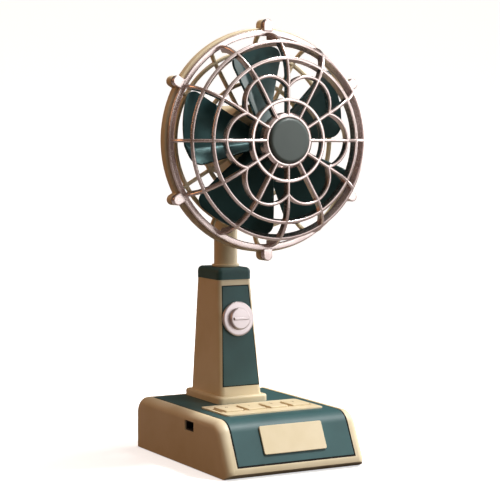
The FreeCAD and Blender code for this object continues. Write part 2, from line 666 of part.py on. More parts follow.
# ---------------------------------------------------------------- neck
def neck():
    groove = tube("post_groove", "Z", "post_radius + 1", "groove_radius", "groove_low", "groove_top", POST)
    pipe = tube("post_pipe", "Z", "post_radius", "post_bore", "post_low", "post_top", POST)
    keep(cut("post_tube", pipe, groove), "post_tube")
    ring = tube("ring_whole", "Z", "12.4", "groove_radius", "groove_low", "groove_top", POST)
    gap = block("ring_gap", ("-3", "3"), ("post_y + 5", "post_y + 15"), ("129", "131"))
    keep(cut("retaining_ring", ring, gap), "retaining_ring")
    collar_low = "cap_top + collar_gap"
    collar = tube("collar_ring", "Z", "collar_radius", "post_radius", collar_low,
                  f"{collar_low} + collar_high", POST)
    keep(collar, "post_collar")
    stub = rod("yoke_stub", "Z", "post_bore", "post_top - 12", "post_top", POST)
    seat = rod("yoke_seat", "Z", "yoke_radius", "post_top", "post_top + yoke_high", POST)
    ears = []
    for side in (-1, 1):
        near = "ear_in" if side > 0 else "-ear_out"
        far = "ear_out" if side > 0 else "-ear_in"
        ears.append(block(f"yoke_ear_{side + 1}", (near, far), span("post_y", "ear_radius"),
                          ("post_top + yoke_high - 1", "tilt_z")))
        ears.append(rod(f"yoke_round_{side + 1}", "X", "ear_radius", near, far, TILT))
    wire_hole = rod("yoke_wire_hole", "Z", "4", "post_top - 20", "post_top + 20", POST)
    bolt_hole = rod("yoke_bolt_hole", "X", "bolt_radius + run_fit", "-20", "20", TILT)
    keep(cut("neck_yoke", join("yoke_solid", stub, seat, *ears), wire_hole, bolt_hole), "neck_yoke")
    shank = rod("bolt_shank", "X", "bolt_radius", "-ear_out", "ear_out + 7", TILT)
    head = rod("bolt_head", "X", "5.5", "-ear_out - 3", "-ear_out", TILT)
    keep(join("tilt_bolt", shank, head), "tilt_bolt")
    grip = rod("tilt_knob_blank", "X", "8", "ear_out", "ear_out + 8", TILT)
    thread = rod("tilt_knob_thread", "X", "bolt_radius", "ear_out - 1", "ear_out + 7", TILT)
    scallops = []
    for step in range(8):
        angle = step * 45 + 22.5
        scallops.append(rod(f"tilt_scallop_{step}", "X", "1.8", "ear_out + 2", "ear_out + 9",
                            (f"post_y + 9*cos({angle})", f"tilt_z + 9*sin({angle})")))
    keep(cut("tilt_knob", grip, thread, *scallops), "tilt_knob")
    bore = "bolt_radius + run_fit"
    left = tube("washer_left", "X", "7.5", bore, "-ear_in", "-tongue_half - 0.3", TILT)
    right = tube("washer_right", "X", "7.5", bore, "tongue_half + 0.3", "ear_in", TILT)
    keep(group("tilt_washers", left, right), "tilt_washers")


# ---------------------------------------------------------------- head
def dome(name, rim, flat, depth, thick, plane_y, forward, skirt):
    """A dished shell about the head's axis: flat in the middle, a quarter ellipse out to its rim."""
    rim, flat, depth = number_of(rim), number_of(flat), number_of(depth)
    thick, plane_y, skirt = number_of(thick), number_of(plane_y), number_of(skirt)

    def quarter(reach, high):
        """The curved part of a section in (radius, height), from the rim to the flat."""
        ellipse = Part.Ellipse(FreeCAD.Vector(flat, 0, 0), reach, high)
        return Part.ArcOfEllipse(ellipse, 0, math.pi / 2).toShape()

    def line(*ends):
        start, end = [FreeCAD.Vector(*point, 0) for point in ends]
        return Part.LineSegment(start, end).toShape()

    edges = [
        line((0, depth), (flat, depth)),
        quarter(rim - flat, depth),
        line((rim, 0), (rim, -skirt)),
        line((rim, -skirt), (rim - thick, -skirt)),
        line((rim - thick, -skirt), (rim - thick, 0)),
        quarter(rim - flat - thick, depth - thick),
        line((flat, depth - thick), (0, depth - thick)),
        line((0, depth - thick), (0, depth)),
    ]
    section = Part.Face(Part.Wire(Part.__sortEdges__(edges)))
    shell = doc.addObject("Part::Feature", name)
    shell.Shape = section.revolve(FreeCAD.Vector(0, 0, 0), FreeCAD.Vector(0, 1, 0), 360)
    turn = FreeCAD.Rotation(FreeCAD.Vector(0, 0, 1), 180) if forward else FreeCAD.Rotation()
    shell.Placement = FreeCAD.Placement(FreeCAD.Vector(0, plane_y, number_of("head_z")), turn)
    return shell


def slabs(name, half, low, high):
    """Flat slabs through the head's axis, one for each pair of ribs."""
    made = []
    for i in range(RIBS_ACROSS):
        slab = block(f"{name}_{i}", ("-100", "100"), (low, high), span("head_z", half))
        angle = math.radians(180 * i / RIBS_ACROSS)
        turn_to(slab, FreeCAD.Rotation(FreeCAD.Vector(0, 1, 0), -math.degrees(angle)))
        half_thick = number_of(half)
        # the box turns about its own corner, so the corner goes where the middle stays on the axis
        move_to(slab, f"{-100 * math.cos(angle)} + {half_thick * math.sin(angle)}", low,
                f"head_z - {100 * math.sin(angle)} - {half_thick * math.cos(angle)}")
        made.append(slab)
    return made


def head_ring(name, middle, wide, low, high):
    return tube(name, "Y", f"({middle}) + ({wide})/2", f"({middle}) - ({wide})/2", low, high, HEAD)


def lugs(name, low, high):
    """Round bosses about the rim, each with a web that ties it to the ring."""
    made = []
    for i, angle in enumerate(LUG_ANGLES):
        place = about_head("lug_reach", [angle])[0]
        made.append(rod(f"{name}_{i}", "Y", "lug_radius", low, high, place))
        web = doc.addObject("Part::Box", f"{name}_web_{i}")
        bind(web, Length="lug_reach - band_inner - 1", Width=f"({high}) - ({low})", Height="6")
        turn_to(web, FreeCAD.Rotation(FreeCAD.Vector(0, 1, 0), -angle))
        # the web starts inside the band and is centred on the lug's spoke
        move_to(web, f"(band_inner + 1)*cos({angle}) + 3*sin({angle})", low,
                f"head_z + (band_inner + 1)*sin({angle}) - 3*cos({angle})")
        made.append(web)
    return made


def front_guard():
    shell = dome("guard_dome", "dome_rim", "dome_flat", "front_dome", "rib_deep", "-hoop_front", True, "3")
    low = "-hoop_front - front_dome - 1"
    high = "-hoop_front + 3"
    bars = slabs("guard_rib", "rib_wide/2", low, high)
    rings = [head_ring("guard_ring_a", "ring_a", "ring_wide", low, high),
             head_ring("guard_ring_b", "ring_b", "ring_wide", low, high),
             head_ring("guard_ring_c", "ring_c", "ring_wide", low, high)]
    petals = []
    for i in range(PETALS):
        angle = i * 360 / PETALS
        place = about_head("petal_reach", [angle])[0]
        loop = tube(f"guard_petal_{i}", "Y", "petal_radius + rib_wide/2", "petal_radius - rib_wide/2",
                    low, high, place)
        window = doc.addObject("Part::Box", f"guard_petal_window_{i}")
        bind(window, Length="30", Width=f"({high}) - ({low})", Height="60")
        turn_to(window, FreeCAD.Rotation(FreeCAD.Vector(0, 1, 0), -angle))
        move_to(window, f"petal_start*cos({angle}) + 30*sin({angle})", low,
                f"head_z + petal_start*sin({angle}) - 30*cos({angle})")
        petals.append(overlap(f"guard_petal_arc_{i}", loop, window))
    grille = overlap("guard_grille", shell, join("guard_bars", *bars, *rings, *petals))
    hoop = tube("guard_hoop", "Y", "hoop_outer", "hoop_inner", "-hoop_front", "-joint_y", HEAD)
    boss = head_turned("guard_boss", [
        ("0", "-boss_face + 8"), ("boss_radius", "-boss_face + 8"), ("boss_radius", "-boss_face + 1.4"),
        ("boss_step", "-boss_face"), ("0", "-boss_face")])
    pocket = head_rod("guard_pocket", "cap_radius + 0.2", "-boss_face - 5", "-boss_face + 4")
    solid = join("guard_solid", grille, hoop, boss, *lugs("guard_lug", "-lug_front", "-joint_y"))
    places = about_head("lug_reach", LUG_ANGLES)
    holes = rods("guard_lug_hole", "Y", "1.6", "-lug_front - 1", "-joint_y + 1", places)
    seats = rods("guard_lug_seat", "Y", "2.7", "-lug_front - 1", "-lug_front + 1.7", places)
    keep(cut("front_guard", solid, pocket, *holes, *seats), "front_guard")
    cap = head_turned("guard_cap_turned", [
        ("0", "-boss_face + 4"), ("cap_radius", "-boss_face + 4"),
        ("cap_radius", "-cap_face"), ("0", "-cap_face")])
    rounded(cap, "guard_cap_edge", "1.8", lambda box: box.YMax < -number_of("cap_face") + 0.01)
    keep(cap, "guard_cap")
    fixings = screws("guard_screws", "Y", places, "-lug_front + 1.7", "-lug_back - 1.5",
                     head=2.5, shank=1.3, head_high=1.5)
    keep(fixings, "guard_screws")


def guard_screw_places():
    return about_head("guard_screw_reach", [30, 150, 270])


def rear_guard():
    shell = dome("rear_dome", "rear_rim", "rear_flat", "rear_dome", "rear_deep", "-band_back - 1", False, "4")
    low = "-joint_y + 3"
    high = "-band_back + rear_dome"
    bars = slabs("rear_spoke", "rib_wide/2", low, high)
    rings = [head_ring("rear_ring_a_tube", "rear_ring_a", "ring_wide", low, high),
             head_ring("rear_ring_b_tube", "rear_ring_b", "ring_wide", low, high)]
    grille = overlap("rear_grille", shell, join("rear_bars", *bars, *rings))
    band = tube("rear_band", "Y", "band_outer", "band_inner", "-joint_y", "-band_back", HEAD)
    plate = head_rod("rear_plate", "mount_plate", "-mount_front", "-housing_front")
    solid = join("rear_solid", grille, band, plate, *lugs("rear_lug", "-joint_y", "-lug_back"))
    eye = head_rod("rear_eye", "motor_screw_reach + 2.7", "-mount_front - 3", "-housing_front + 2")
    lug_holes = rods("rear_lug_hole", "Y", "1.3", "-joint_y - 1", "-lug_back - 1.2",
                     about_head("lug_reach", LUG_ANGLES))
    places = guard_screw_places()
    plate_holes = rods("rear_plate_hole", "Y", "1.5", "-mount_front - 1", "-housing_front + 1", places)
    plate_seats = rods("rear_plate_seat", "Y", "2.5", "-mount_front - 3", "-mount_front", places)
    keep(cut("rear_guard", solid, eye, *lug_holes, *plate_holes, *plate_seats), "rear_guard")
    keep(screws("rear_guard_screws", "Y", places, "-mount_front", "0"), "rear_guard_screws")


def motor_screw_places():
    return about_head("motor_screw_reach", [45, 225])


def cover_screw_places():
    return about_head("cover_screw_reach", [90, 210, 330])


def motor_housing():
    case = head_rod("housing_case", "housing_radius", "-housing_front", "housing_back")
    floor = "-housing_front + 2.5"
    hollow = head_rod("housing_hollow", "housing_radius - housing_wall", floor, "housing_back")
    eye = head_rod("housing_eye", "eye_radius", "-housing_front - 1", "0")
    guard_places = guard_screw_places()
    guard_bosses = rods("housing_guard_boss", "Y", "3.6", floor, "2", guard_places)
    guard_holes = rods("housing_guard_hole", "Y", "pilot", "-housing_front - 1", "1", guard_places)
    cover_places = cover_screw_places()
    cover_bosses = rods("housing_cover_boss", "Y", "3", "18", "housing_back", cover_places)
    cover_holes = rods("housing_cover_hole", "Y", "pilot", "22", "housing_back", cover_places)
    motor_holes = rods("housing_motor_hole", "Y", "1.3", "-housing_front - 1", "0", motor_screw_places())
    under = "head_z - housing_radius + 1"
    sides = span("0", "tongue_half")
    arm = block("tongue_arm", sides, ("post_y - 16", "housing_back"), ("tilt_z + 4", under))
    drop = block("tongue_drop", sides, ("post_y - ear_radius", "housing_back"), ("tilt_z", under))
    knuckle = rod("tongue_knuckle", "X", "ear_radius", sides[0], sides[1], TILT)
    pin_hole = rod("tongue_pin_hole", "X", "bolt_radius + run_fit", "-10", "10", TILT)
    tongue = cut("housing_tongue", join("tongue_solid", arm, drop, knuckle), pin_hole)
    walls = cut("housing_walls", case, hollow)
    solid = join("housing_solid", walls, tongue, *guard_bosses, *cover_bosses)
    keep(cut("motor_housing", solid, eye, *guard_holes, *cover_holes, *motor_holes), "motor_housing")


def motor_rear_cover():
    shell = head_turned("cover_dome", [
        ("0", "dome_back"), ("12", "dome_back - 0.8"), ("21", "dome_back - 3.6"), ("27", "dome_back - 9"),
        ("housing_radius", "dome_back - 16"), ("housing_radius", "housing_back"),
        ("housing_radius - housing_wall", "housing_back"),
        ("housing_radius - housing_wall", "dome_back - 16"), ("25", "dome_back - 10.4"),
        ("20", "dome_back - 6"), ("11.4", "dome_back - 3"), ("0", "dome_back - 2.2")])
    places = cover_screw_places()
    bosses = rods("cover_boss", "Y", "3.2", "housing_back", "42", places)
    seats = rods("cover_seat", "Y", "2.5", "41", "60", places)
    holes = rods("cover_hole", "Y", "1.4", "housing_back - 1", "42", places)
    vents = []
    for i in range(6):
        height = span(f"head_z + vent_pitch*{i - 2.5}", "vent_high/2")
        depth = ("dome_back - 8", "dome_back + 1")
        vents.append(block(f"cover_vent_{i}", span("0", "vent_half"), depth, height))
    solid = join("cover_solid", shell, *bosses)
    keep(cut("motor_rear_cover", solid, *seats, *holes, *vents), "motor_rear_cover")
    keep(screws("rear_cover_screws", "Y", places, "41", "23"), "rear_cover_screws")


def motor():
    front = "-housing_front + 2.5"
    can = join("can_solid", head_rod("can_case", "can_radius", front, "can_back"),
               head_rod("can_nose", "bush_radius + 2", "-12", front))
    hollow = head_rod("can_hollow", "can_radius - 0.8", "-housing_front + 3.5", "can_back")
    nose_bore = head_rod("can_nose_bore", "bush_radius", "-13", "0")
    threads = rods("can_thread", "Y", "pilot", "-9", "0", motor_screw_places())
    keep(cut("motor_can", can, hollow, nose_bore, *threads), "motor_can")
    keep(screws("motor_screws", "Y", motor_screw_places(), "-housing_front", "-5", head=2.0), "motor_screws")
    keep(tube("front_bush", "Y", "bush_radius", "shaft_radius + run_fit", "-12", "-4", HEAD), "front_bush")
    holders = []
    for side, reach in (("left", ("-16", "-5")), ("right", ("5", "16"))):
        depth = ("can_back - 1.5", "can_back")
        holders.append(block(f"brush_holder_{side}", reach, depth, span("head_z", "3")))
    end = join("end_solid", head_rod("end_disc", "can_radius", "can_back", "can_back + 3.5"),
               head_rod("end_boss", "bush_radius + 2", "can_back + 3.5", "can_back + 11"), *holders)
    bore = head_rod("end_bore", "bush_radius", "can_back + 2.5", "can_back + 10")
    clear = head_rod("end_clear", "shaft_radius + 1", "20", "can_back + 10")
    keep(cut("motor_end_cap", end, bore, clear), "motor_end_cap")
    bush = tube("rear_bush", "Y", "bush_radius", "shaft_radius + run_fit",
                "can_back + 2.5", "can_back + 10", HEAD)
    keep(bush, "rear_bush")
    ring = tube("magnet_ring", "Y", "can_radius - 0.8", "14.2", "-2", "23", HEAD)
    gap = block("magnet_gap", ("-6", "6"), ("-5", "30"), span("head_z", "20"))
    keep(cut("field_magnets", ring, gap), "field_magnets")
    brushes = []
    for side, reach in (("left", ("-9", "-4.1")), ("right", ("4.1", "9"))):
        brushes.append(block(f"brush_{side}", reach, ("25.2", "28.5"), span("head_z", "1.5")))
    keep(group("motor_brushes", *brushes), "motor_brushes")


def rotor():
    keep(head_rod("motor_shaft", "shaft_radius", "-shaft_front", "shaft_back"), "motor_shaft")
    core = tube("core_whole", "Y", "13.6", "shaft_radius", "1", "21", HEAD)
    slots = []
    for i in range(5):
        angle = i * 72
        slot = doc.addObject("Part::Box", f"core_slot_{i}")
        bind(slot, Length="10", Width="30", Height="2")
        turn_to(slot, FreeCAD.Rotation(FreeCAD.Vector(0, 1, 0), -angle))
        move_to(slot, f"8.5*cos({angle}) + sin({angle})", "-4",
                f"head_z + 8.5*sin({angle}) - cos({angle})")
        slots.append(slot)
    keep(cut("armature_core", core, *slots), "armature_core")
    coils = [tube("coil_front", "Y", "11.5", "shaft_radius", "-3", "1", HEAD),
             tube("coil_rear", "Y", "11.5", "shaft_radius", "21", "24.4", HEAD)]
    keep(group("armature_coils", *coils), "armature_coils")
    keep(tube("commutator", "Y", "3.8", "shaft_radius", "24.6", "28", HEAD), "commutator")
    nut = join("nut_solid", head_rod("nut_skirt", "6.5", "-hub_front - 1.5", "-hub_front"),
               head_rod("nut_body", "5", "-hub_front - 6", "-hub_front - 1.5"))
    thread = head_rod("nut_thread", "shaft_radius", "-shaft_front", "-hub_front")
    keep(cut("blade_nut", nut, thread), "blade_nut")


def blade_section(chord, pitch):
    """A flat blade section in (x, y), tilted so that its left side is the forward one."""
    made = []
    for end, face in ((-1, -1), (1, -1), (1, 1), (-1, 1)):
        across = f"{end}*({chord})/2*cos({pitch}) - {face}*blade_thick/2*sin({pitch})"
        along = f"{end}*({chord})/2*sin({pitch}) + {face}*blade_thick/2*cos({pitch}) - blade_mid"
        made.append((across, along))
    return made


def fan_blade():
    body = head_turned("blade_body", [
        ("0", "-hub_front"), ("hub_radius - 2", "-hub_front"), ("hub_radius", "-hub_front + 2.5"),
        ("hub_radius", "-hub_back"), ("hub_radius - 2", "-hub_back"), ("hub_radius - 2", "-hub_front + 3.5"),
        ("5", "-hub_front + 3.5"), ("5", "-hub_back - 2"), ("0", "-hub_back - 2")])
    blade = loft(body, "blade_sheet", blade_section("root_chord", "root_pitch"),
                 blade_section("tip_chord", "tip_pitch"), "blade_root", "blade_tip")
    axis = next(item for item in body.Origin.OriginFeatures if item.Role == "Y_Axis")
    pattern = body.newObject("PartDesign::PolarPattern", "blade_ring")
    pattern.Originals = [blade]
    pattern.Axis = (axis, [""])
    pattern.Angle = 360
    pattern.Occurrences = BLADES
    body.Tip = pattern
    turn_to(body, FreeCAD.Rotation(FreeCAD.Vector(0, 1, 0), -number_of("rotor_set")))
    doc.recompute()
    trimmed = overlap("blade_trimmed", body, head_rod("blade_sweep", "blade_reach", "-60", "0"))
    keep(cut("fan_blade", trimmed, head_rod("blade_bore", "shaft_radius", "-50", "-10")), "fan_blade")


# ---------------------------------------------------------------- build, check and write
for build in (base_shell, base_cover, name_plate, key_bezel, keys, circuit_board, inlet_socket, underside,
              column_foot, column_shell, column_panel, column_cap, speed_control, speed_knob, neck,
              front_guard, rear_guard, motor_housing, motor_rear_cover, motor, rotor, fan_blade):
    build()
doc.recompute()

failed = [thing.Name for thing in doc.Objects if "Invalid" in thing.State or "Error" in thing.State]
if failed:
    raise RuntimeError("objects that did not build: " + ", ".join(failed))
for thing in pieces:
    if thing.Shape.isNull() or not thing.Shape.isValid():
        raise RuntimeError("sub-part with no valid shape: " + thing.Label)

os.makedirs("parts", exist_ok=True)
for thing in pieces:
    thing.Shape.exportStep(f"parts/{thing.Label}.step")
whole = FreeCAD.BoundBox()
for thing in pieces:
    whole.add(thing.Shape.BoundBox)
    print(f"{thing.Label:18s} solids {len(thing.Shape.Solids)}  volume {thing.Shape.Volume:9.1f}")
print(len(pieces), "sub-parts, box", whole)
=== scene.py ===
import math

import bmesh
import bpy
from mathutils import Matrix, Vector


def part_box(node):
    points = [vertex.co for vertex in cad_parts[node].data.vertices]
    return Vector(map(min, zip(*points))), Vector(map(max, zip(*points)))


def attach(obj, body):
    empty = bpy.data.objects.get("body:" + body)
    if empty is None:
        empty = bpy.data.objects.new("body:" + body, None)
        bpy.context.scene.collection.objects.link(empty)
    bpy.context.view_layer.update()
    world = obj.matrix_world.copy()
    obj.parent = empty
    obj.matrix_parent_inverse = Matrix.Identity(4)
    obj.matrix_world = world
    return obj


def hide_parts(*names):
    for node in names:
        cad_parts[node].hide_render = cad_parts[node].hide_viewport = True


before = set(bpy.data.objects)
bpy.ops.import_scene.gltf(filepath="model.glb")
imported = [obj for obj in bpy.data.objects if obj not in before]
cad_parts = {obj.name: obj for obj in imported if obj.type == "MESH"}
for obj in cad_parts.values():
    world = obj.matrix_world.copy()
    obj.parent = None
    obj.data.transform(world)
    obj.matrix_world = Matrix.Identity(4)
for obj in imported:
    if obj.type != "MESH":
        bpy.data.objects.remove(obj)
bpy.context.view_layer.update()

MM = 0.001
TAU = math.tau


def middle_of(node):
    """The centre of a CAD node's box."""
    low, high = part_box(node)
    return (Vector(low) + Vector(high)) / 2


# ------------------------------------------------------------------ places read from the frame
HUB = middle_of("motor_shaft")
HUB.y = 0
RIM_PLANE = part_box("guard_screws")[0][1] + 0.8 * MM
GUARD_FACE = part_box("front_guard")[0][1]
CAP_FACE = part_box("guard_cap")[0][1]
KEY_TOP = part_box("key_1")[1][2]


# ------------------------------------------------------------------ materials
def linear(code):
    """Turn an sRGB hex colour into linear RGBA."""
    channels = [int(code[i:i + 2], 16) / 255 for i in (1, 3, 5)]
    return [c / 12.92 if c <= 0.04045 else ((c + 0.055) / 1.055) ** 2.4 for c in channels] + [1.0]


def add(tree, kind, inputs=None, **settings):
    """Add a node with its settings, and fill its sockets with values or with links."""
    node = tree.nodes.new(kind)
    for name, value in settings.items():
        setattr(node, name, value)
    for name, value in (inputs or {}).items():
        if isinstance(value, bpy.types.NodeSocket):
            tree.links.new(value, node.inputs[name])
        else:
            node.inputs[name].default_value = value
    return node


def finish_of(name, base, second, grain_mm, bump, roughness, spread=0.06, stain_mm=38.0, **shader):
    """A finish with two close colours drifting over it, and a fine grain in roughness and bump."""
    material = bpy.data.materials.new(name)
    material.use_nodes = True
    tree = material.node_tree
    tree.nodes.clear()
    place = add(tree, "ShaderNodeTexCoord").outputs["Object"]
    drift = add(tree, "ShaderNodeTexNoise",
                {"Vector": place, "Scale": 1 / (stain_mm * MM), "Detail": 3.0, "Roughness": 0.55})
    colour = add(tree, "ShaderNodeValToRGB", {"Fac": drift.outputs["Fac"]})
    colour.color_ramp.elements[0].position = 0.36
    colour.color_ramp.elements[0].color = linear(second)
    colour.color_ramp.elements[1].position = 0.62
    colour.color_ramp.elements[1].color = linear(base)
    grain = add(tree, "ShaderNodeTexNoise",
                {"Vector": place, "Scale": 1 / (grain_mm * MM), "Detail": 2.0, "Roughness": 0.6})
    rough = add(tree, "ShaderNodeMapRange",
                {"Value": grain.outputs["Fac"], "To Min": roughness - spread, "To Max": roughness + spread})
    relief = add(tree, "ShaderNodeBump",
                 {"Height": grain.outputs["Fac"], "Strength": bump, "Distance": 0.05 * MM})
    skin = add(tree, "ShaderNodeBsdfPrincipled",
               {"Base Color": colour.outputs["Color"], "Roughness": rough.outputs["Result"],
                "Normal": relief.outputs["Normal"]})
    for socket, value in shader.items():
        skin.inputs[socket.replace("_", " ")].default_value = value
    add(tree, "ShaderNodeOutputMaterial", {"Surface": skin.outputs["BSDF"]})
    return material


# Moulded ABS in cream, spark-eroded tool: even, faintly mottled, soft broad highlights.
cream_abs = finish_of("cream_moulded_abs", "#E1D2B1", "#DACAA5", 0.9, 0.16, 0.46, IOR=1.53)
# Moulded ABS in teal: the same grain and sheen, with a soft pale line along each bend.
teal_abs = finish_of("teal_moulded_abs", "#34595B", "#305254", 0.9, 0.12, 0.47, IOR=1.4)
# Polished polypropylene blades: deep teal, clear sharp highlights.
blade_pp = finish_of("teal_polished_polypropylene", "#1E3637", "#172B2C", 1.6, 0.04, 0.3, 0.04, IOR=1.49,
                     **{"Specular Tint": linear("#A8E4E4")})
# Grey-green rubberised paint on the guard's cap: broad dull sheen.
cap_paint = finish_of("grey_green_soft_paint", "#525E5B", "#4D5956", 0.7, 0.1, 0.42, IOR=1.5)
# Die-cast zinc alloy with satin rose-nickel plating: bright edges, brown in the depth.
guard_nickel = finish_of("satin_rose_nickel_plate", "#DACDCB", "#CABBB8", 0.6, 0.03, 0.26, 0.05,
                         stain_mm=16.0, Metallic=1.0)
# Turned aluminium, bead-blasted and clear anodised: pale, slightly pink, almost matt.
knob_alloy = finish_of("blasted_anodised_aluminium", "#CFC6C8", "#C6BCBE", 0.35, 0.12, 0.4, 0.05,
                       Metallic=0.9)
# Zinc-plated steel screws: grey with a soft shine.
screw_zinc = finish_of("zinc_plated_steel", "#C6C2BC", "#B4AFA8", 0.4, 0.1, 0.34, Metallic=1.0)
# Galvanised sheet for the floor plate and motor can: duller, blotched zinc.
sheet_zinc = finish_of("galvanised_steel_sheet", "#9C9A96", "#86847F", 1.2, 0.1, 0.42, stain_mm=9.0,
                       Metallic=1.0)
# Bare cast iron for ballast and cores: dark grey, rough as cast.
cast_iron = finish_of("bare_cast_iron", "#4A4846", "#3B3937", 0.8, 0.5, 0.62, Metallic=0.9)
# Enamelled copper wire and commutator: warm orange metal under varnish.
copper = finish_of("enamelled_copper", "#C9773F", "#B5632F", 0.5, 0.3, 0.32, Metallic=1.0)
# Oil-filled sintered bronze bushes: brown metal, porous.
bronze = finish_of("sintered_bronze", "#9C7442", "#866136", 0.3, 0.4, 0.5, Metallic=1.0)
# Glass-filled nylon for socket, control and washers: near black, matt.
black_nylon = finish_of("black_glass_filled_nylon", "#1C1A19", "#151413", 0.5, 0.2, 0.52, IOR=1.53)
# Fibre-glass circuit board under green mask: glossy film.
board_mask = finish_of("green_solder_mask", "#1F5A38", "#1A4C30", 0.8, 0.08, 0.24, IOR=1.5)
# Moulded nitrile feet and key domes: black, dusty matt.
foot_rubber = finish_of("moulded_nitrile_rubber", "#2A2826", "#211F1E", 0.6, 0.3, 0.78, IOR=1.52)
# Dead matt black laid just under the surface in the seams: painted shade, so a seam reads as a dark line.
seam_shade_black = finish_of("black_painted_seam_shade", "#14120F", "#1A1713", 0.5, 0.2, 0.92, 0.03, IOR=1.4)
# Tan for the bars in the grooves between the keys: painted shade, the brown of the shaded groove walls.
groove_shade_tan = finish_of("tan_painted_groove_shade", "#A98249", "#94703C", 0.5, 0.2, 0.6, IOR=1.5)
# Brown pad-printing ink for the key figures: flat and thin.
print_ink = finish_of("brown_pad_print_ink", "#8A7452", "#7D6848", 0.3, 0.05, 0.6, IOR=1.5)


# ------------------------------------------------------------------ pieces
def piece(name, mesh, material, body, slot, *nodes):
    """Put a finished mesh in the scene as a piece that rides on a body and stands for CAD nodes."""
    made = bpy.data.objects.new(name, mesh)
    bpy.context.collection.objects.link(made)
    mesh.materials.clear()
    mesh.materials.append(material)
    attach(made, body)
    if nodes:
        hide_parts(*nodes)


def plain(work):
    """The object's mesh with its modifiers worked in; the object itself goes."""
    graph = bpy.context.evaluated_depsgraph_get()
    mesh = bpy.data.meshes.new_from_object(work.evaluated_get(graph), depsgraph=graph)
    bpy.data.objects.remove(work)
    return mesh


def working(name, data):
    """A helper object in the scene for a mesh, a curve, a light or a camera."""
    made = bpy.data.objects.new(name, data)
    bpy.context.collection.objects.link(made)
    return made


EASED_ANGLE = math.radians(32)
SHARP_ANGLE = math.radians(38)
FLAT_ANGLE = math.radians(0.3)


def eased(mesh, width, segments=3):
    """Round a mesh's sharp edges and even out the shading of its flats."""
    work = working("easing", mesh)
    if width:
        bevel = work.modifiers.new("edges", "BEVEL")
        bevel.width = width
        bevel.segments = segments
        bevel.limit_method = "ANGLE"
        bevel.angle_limit = EASED_ANGLE
        bevel.use_clamp_overlap = True
        bevel.miter_outer = "MITER_ARC"
        mesh = plain(work)
        work = working("easing", mesh)
    mesh.shade_smooth()
    mesh.set_sharp_from_angle(angle=SHARP_ANGLE)
    even = work.modifiers.new("even", "WEIGHTED_NORMAL")
    even.weight = 100
    even.keep_sharp = True
    return plain(work)


# Flat faces with several windows keep their triangles: one big face can't go round them.
PIERCED = ("key_bezel",)


def merged_copy(node):
    """A CAD node's mesh with its loose triangles joined and its flats made whole."""
    shape = bmesh.new()
    shape.from_mesh(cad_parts[node].data)
    bmesh.ops.remove_doubles(shape, verts=shape.verts, dist=1e-6)
    if node not in PIERCED:
        bmesh.ops.dissolve_limit(shape, angle_limit=FLAT_ANGLE, verts=shape.verts, edges=shape.edges)
    mesh = bpy.data.meshes.new(node + "_eased")
    shape.to_mesh(mesh)
    shape.free()
    return mesh


def eased_node(node, material, body, slot, width):
    """A CAD node's own shape with its moulded or broken edges added."""
    piece(node + "_moulding", eased(merged_copy(node), width), material, body, slot, node)


def mesh_from(name, points, faces):
    """A mesh with its double points joined and its faces turned outward."""
    mesh = bpy.data.meshes.new(name)
    mesh.from_pydata([tuple(p) for p in points], [], faces)
    shape = bmesh.new()
    shape.from_mesh(mesh)
    bmesh.ops.remove_doubles(shape, verts=shape.verts, dist=1e-7)
    bmesh.ops.recalc_face_normals(shape, faces=shape.faces)
    shape.to_mesh(mesh)
    shape.free()
    return mesh


def block(name, size, centre=(0, 0, 0)):
    """A plain oblong; sizes and centre in millimetres."""
    shape = bmesh.new()
    bmesh.ops.create_cube(shape, size=1)
    bmesh.ops.scale(shape, vec=Vector(size) * MM, verts=shape.verts)
    bmesh.ops.translate(shape, vec=Vector(centre) * MM, verts=shape.verts)
    mesh = bpy.data.meshes.new(name)
    shape.to_mesh(mesh)
    shape.free()
    return mesh


def joined(name, *meshes):
    """One mesh from several."""
    shape = bmesh.new()
    for mesh in meshes:
        shape.from_mesh(mesh)
    whole = bpy.data.meshes.new(name)
    shape.to_mesh(whole)
    shape.free()
    return whole


def turned(name, profile, closed=False, steps=128, matrix=None):
    """Turn a section of (radius, forward) about the head's axis; forward is towards the front."""
    rows = len(profile)
    points, faces = [], []
    for step in range(steps):
        angle = TAU * step / steps
        for radius, forward in profile:
            points.append(Vector((radius * math.cos(angle), -forward, radius * math.sin(angle))))
    spans = rows if closed else rows - 1
    for step in range(steps):
        here, there = step * rows, (step + 1) % steps * rows
        for row in range(spans):
            after = (row + 1) % rows
            corners = [here + row, here + after, there + after, there + row]
            if profile[row][0] == 0:
                corners = [here + row, here + after, there + after]
            elif profile[after][0] == 0:
                corners = [here + row, here + after, there + row]
            faces.append(corners)
    mesh = mesh_from(name, points, faces)
    mesh.transform(matrix or Matrix.Translation(HUB))
    return mesh


def rounded_section(points, radius, steps=3):
    """A closed section of (radius, forward) points with each corner rounded."""
    made = []
    count = len(points)
    for i in range(count):
        here = Vector(points[i])
        before = Vector(points[i - 1]) - here
        after = Vector(points[(i + 1) % count]) - here
        reach = min(radius, before.length * 0.45, after.length * 0.45)
        start = here + before.normalized() * reach
        end = here + after.normalized() * reach
        for step in range(steps + 1):
            t = step / steps
            made.append(tuple(start.lerp(here, t).lerp(here.lerp(end, t), t)))
    return made


# ------------------------------------------------------------------ geometry node trees
def new_tree(name, *sockets):
    """A geometry tree with a geometry input and output, and named inputs with their defaults."""
    tree = bpy.data.node_groups.new(name, "GeometryNodeTree")
    tree.interface.new_socket("Geometry", in_out="INPUT", socket_type="NodeSocketGeometry")
    for label, kind, value in sockets:
        made = tree.interface.new_socket(label, in_out="INPUT", socket_type="NodeSocket" + kind)
        if value is not None:
            made.default_value = value
    tree.interface.new_socket("Geometry", in_out="OUTPUT", socket_type="NodeSocketGeometry")
    return tree, tree.nodes.new("NodeGroupInput").outputs


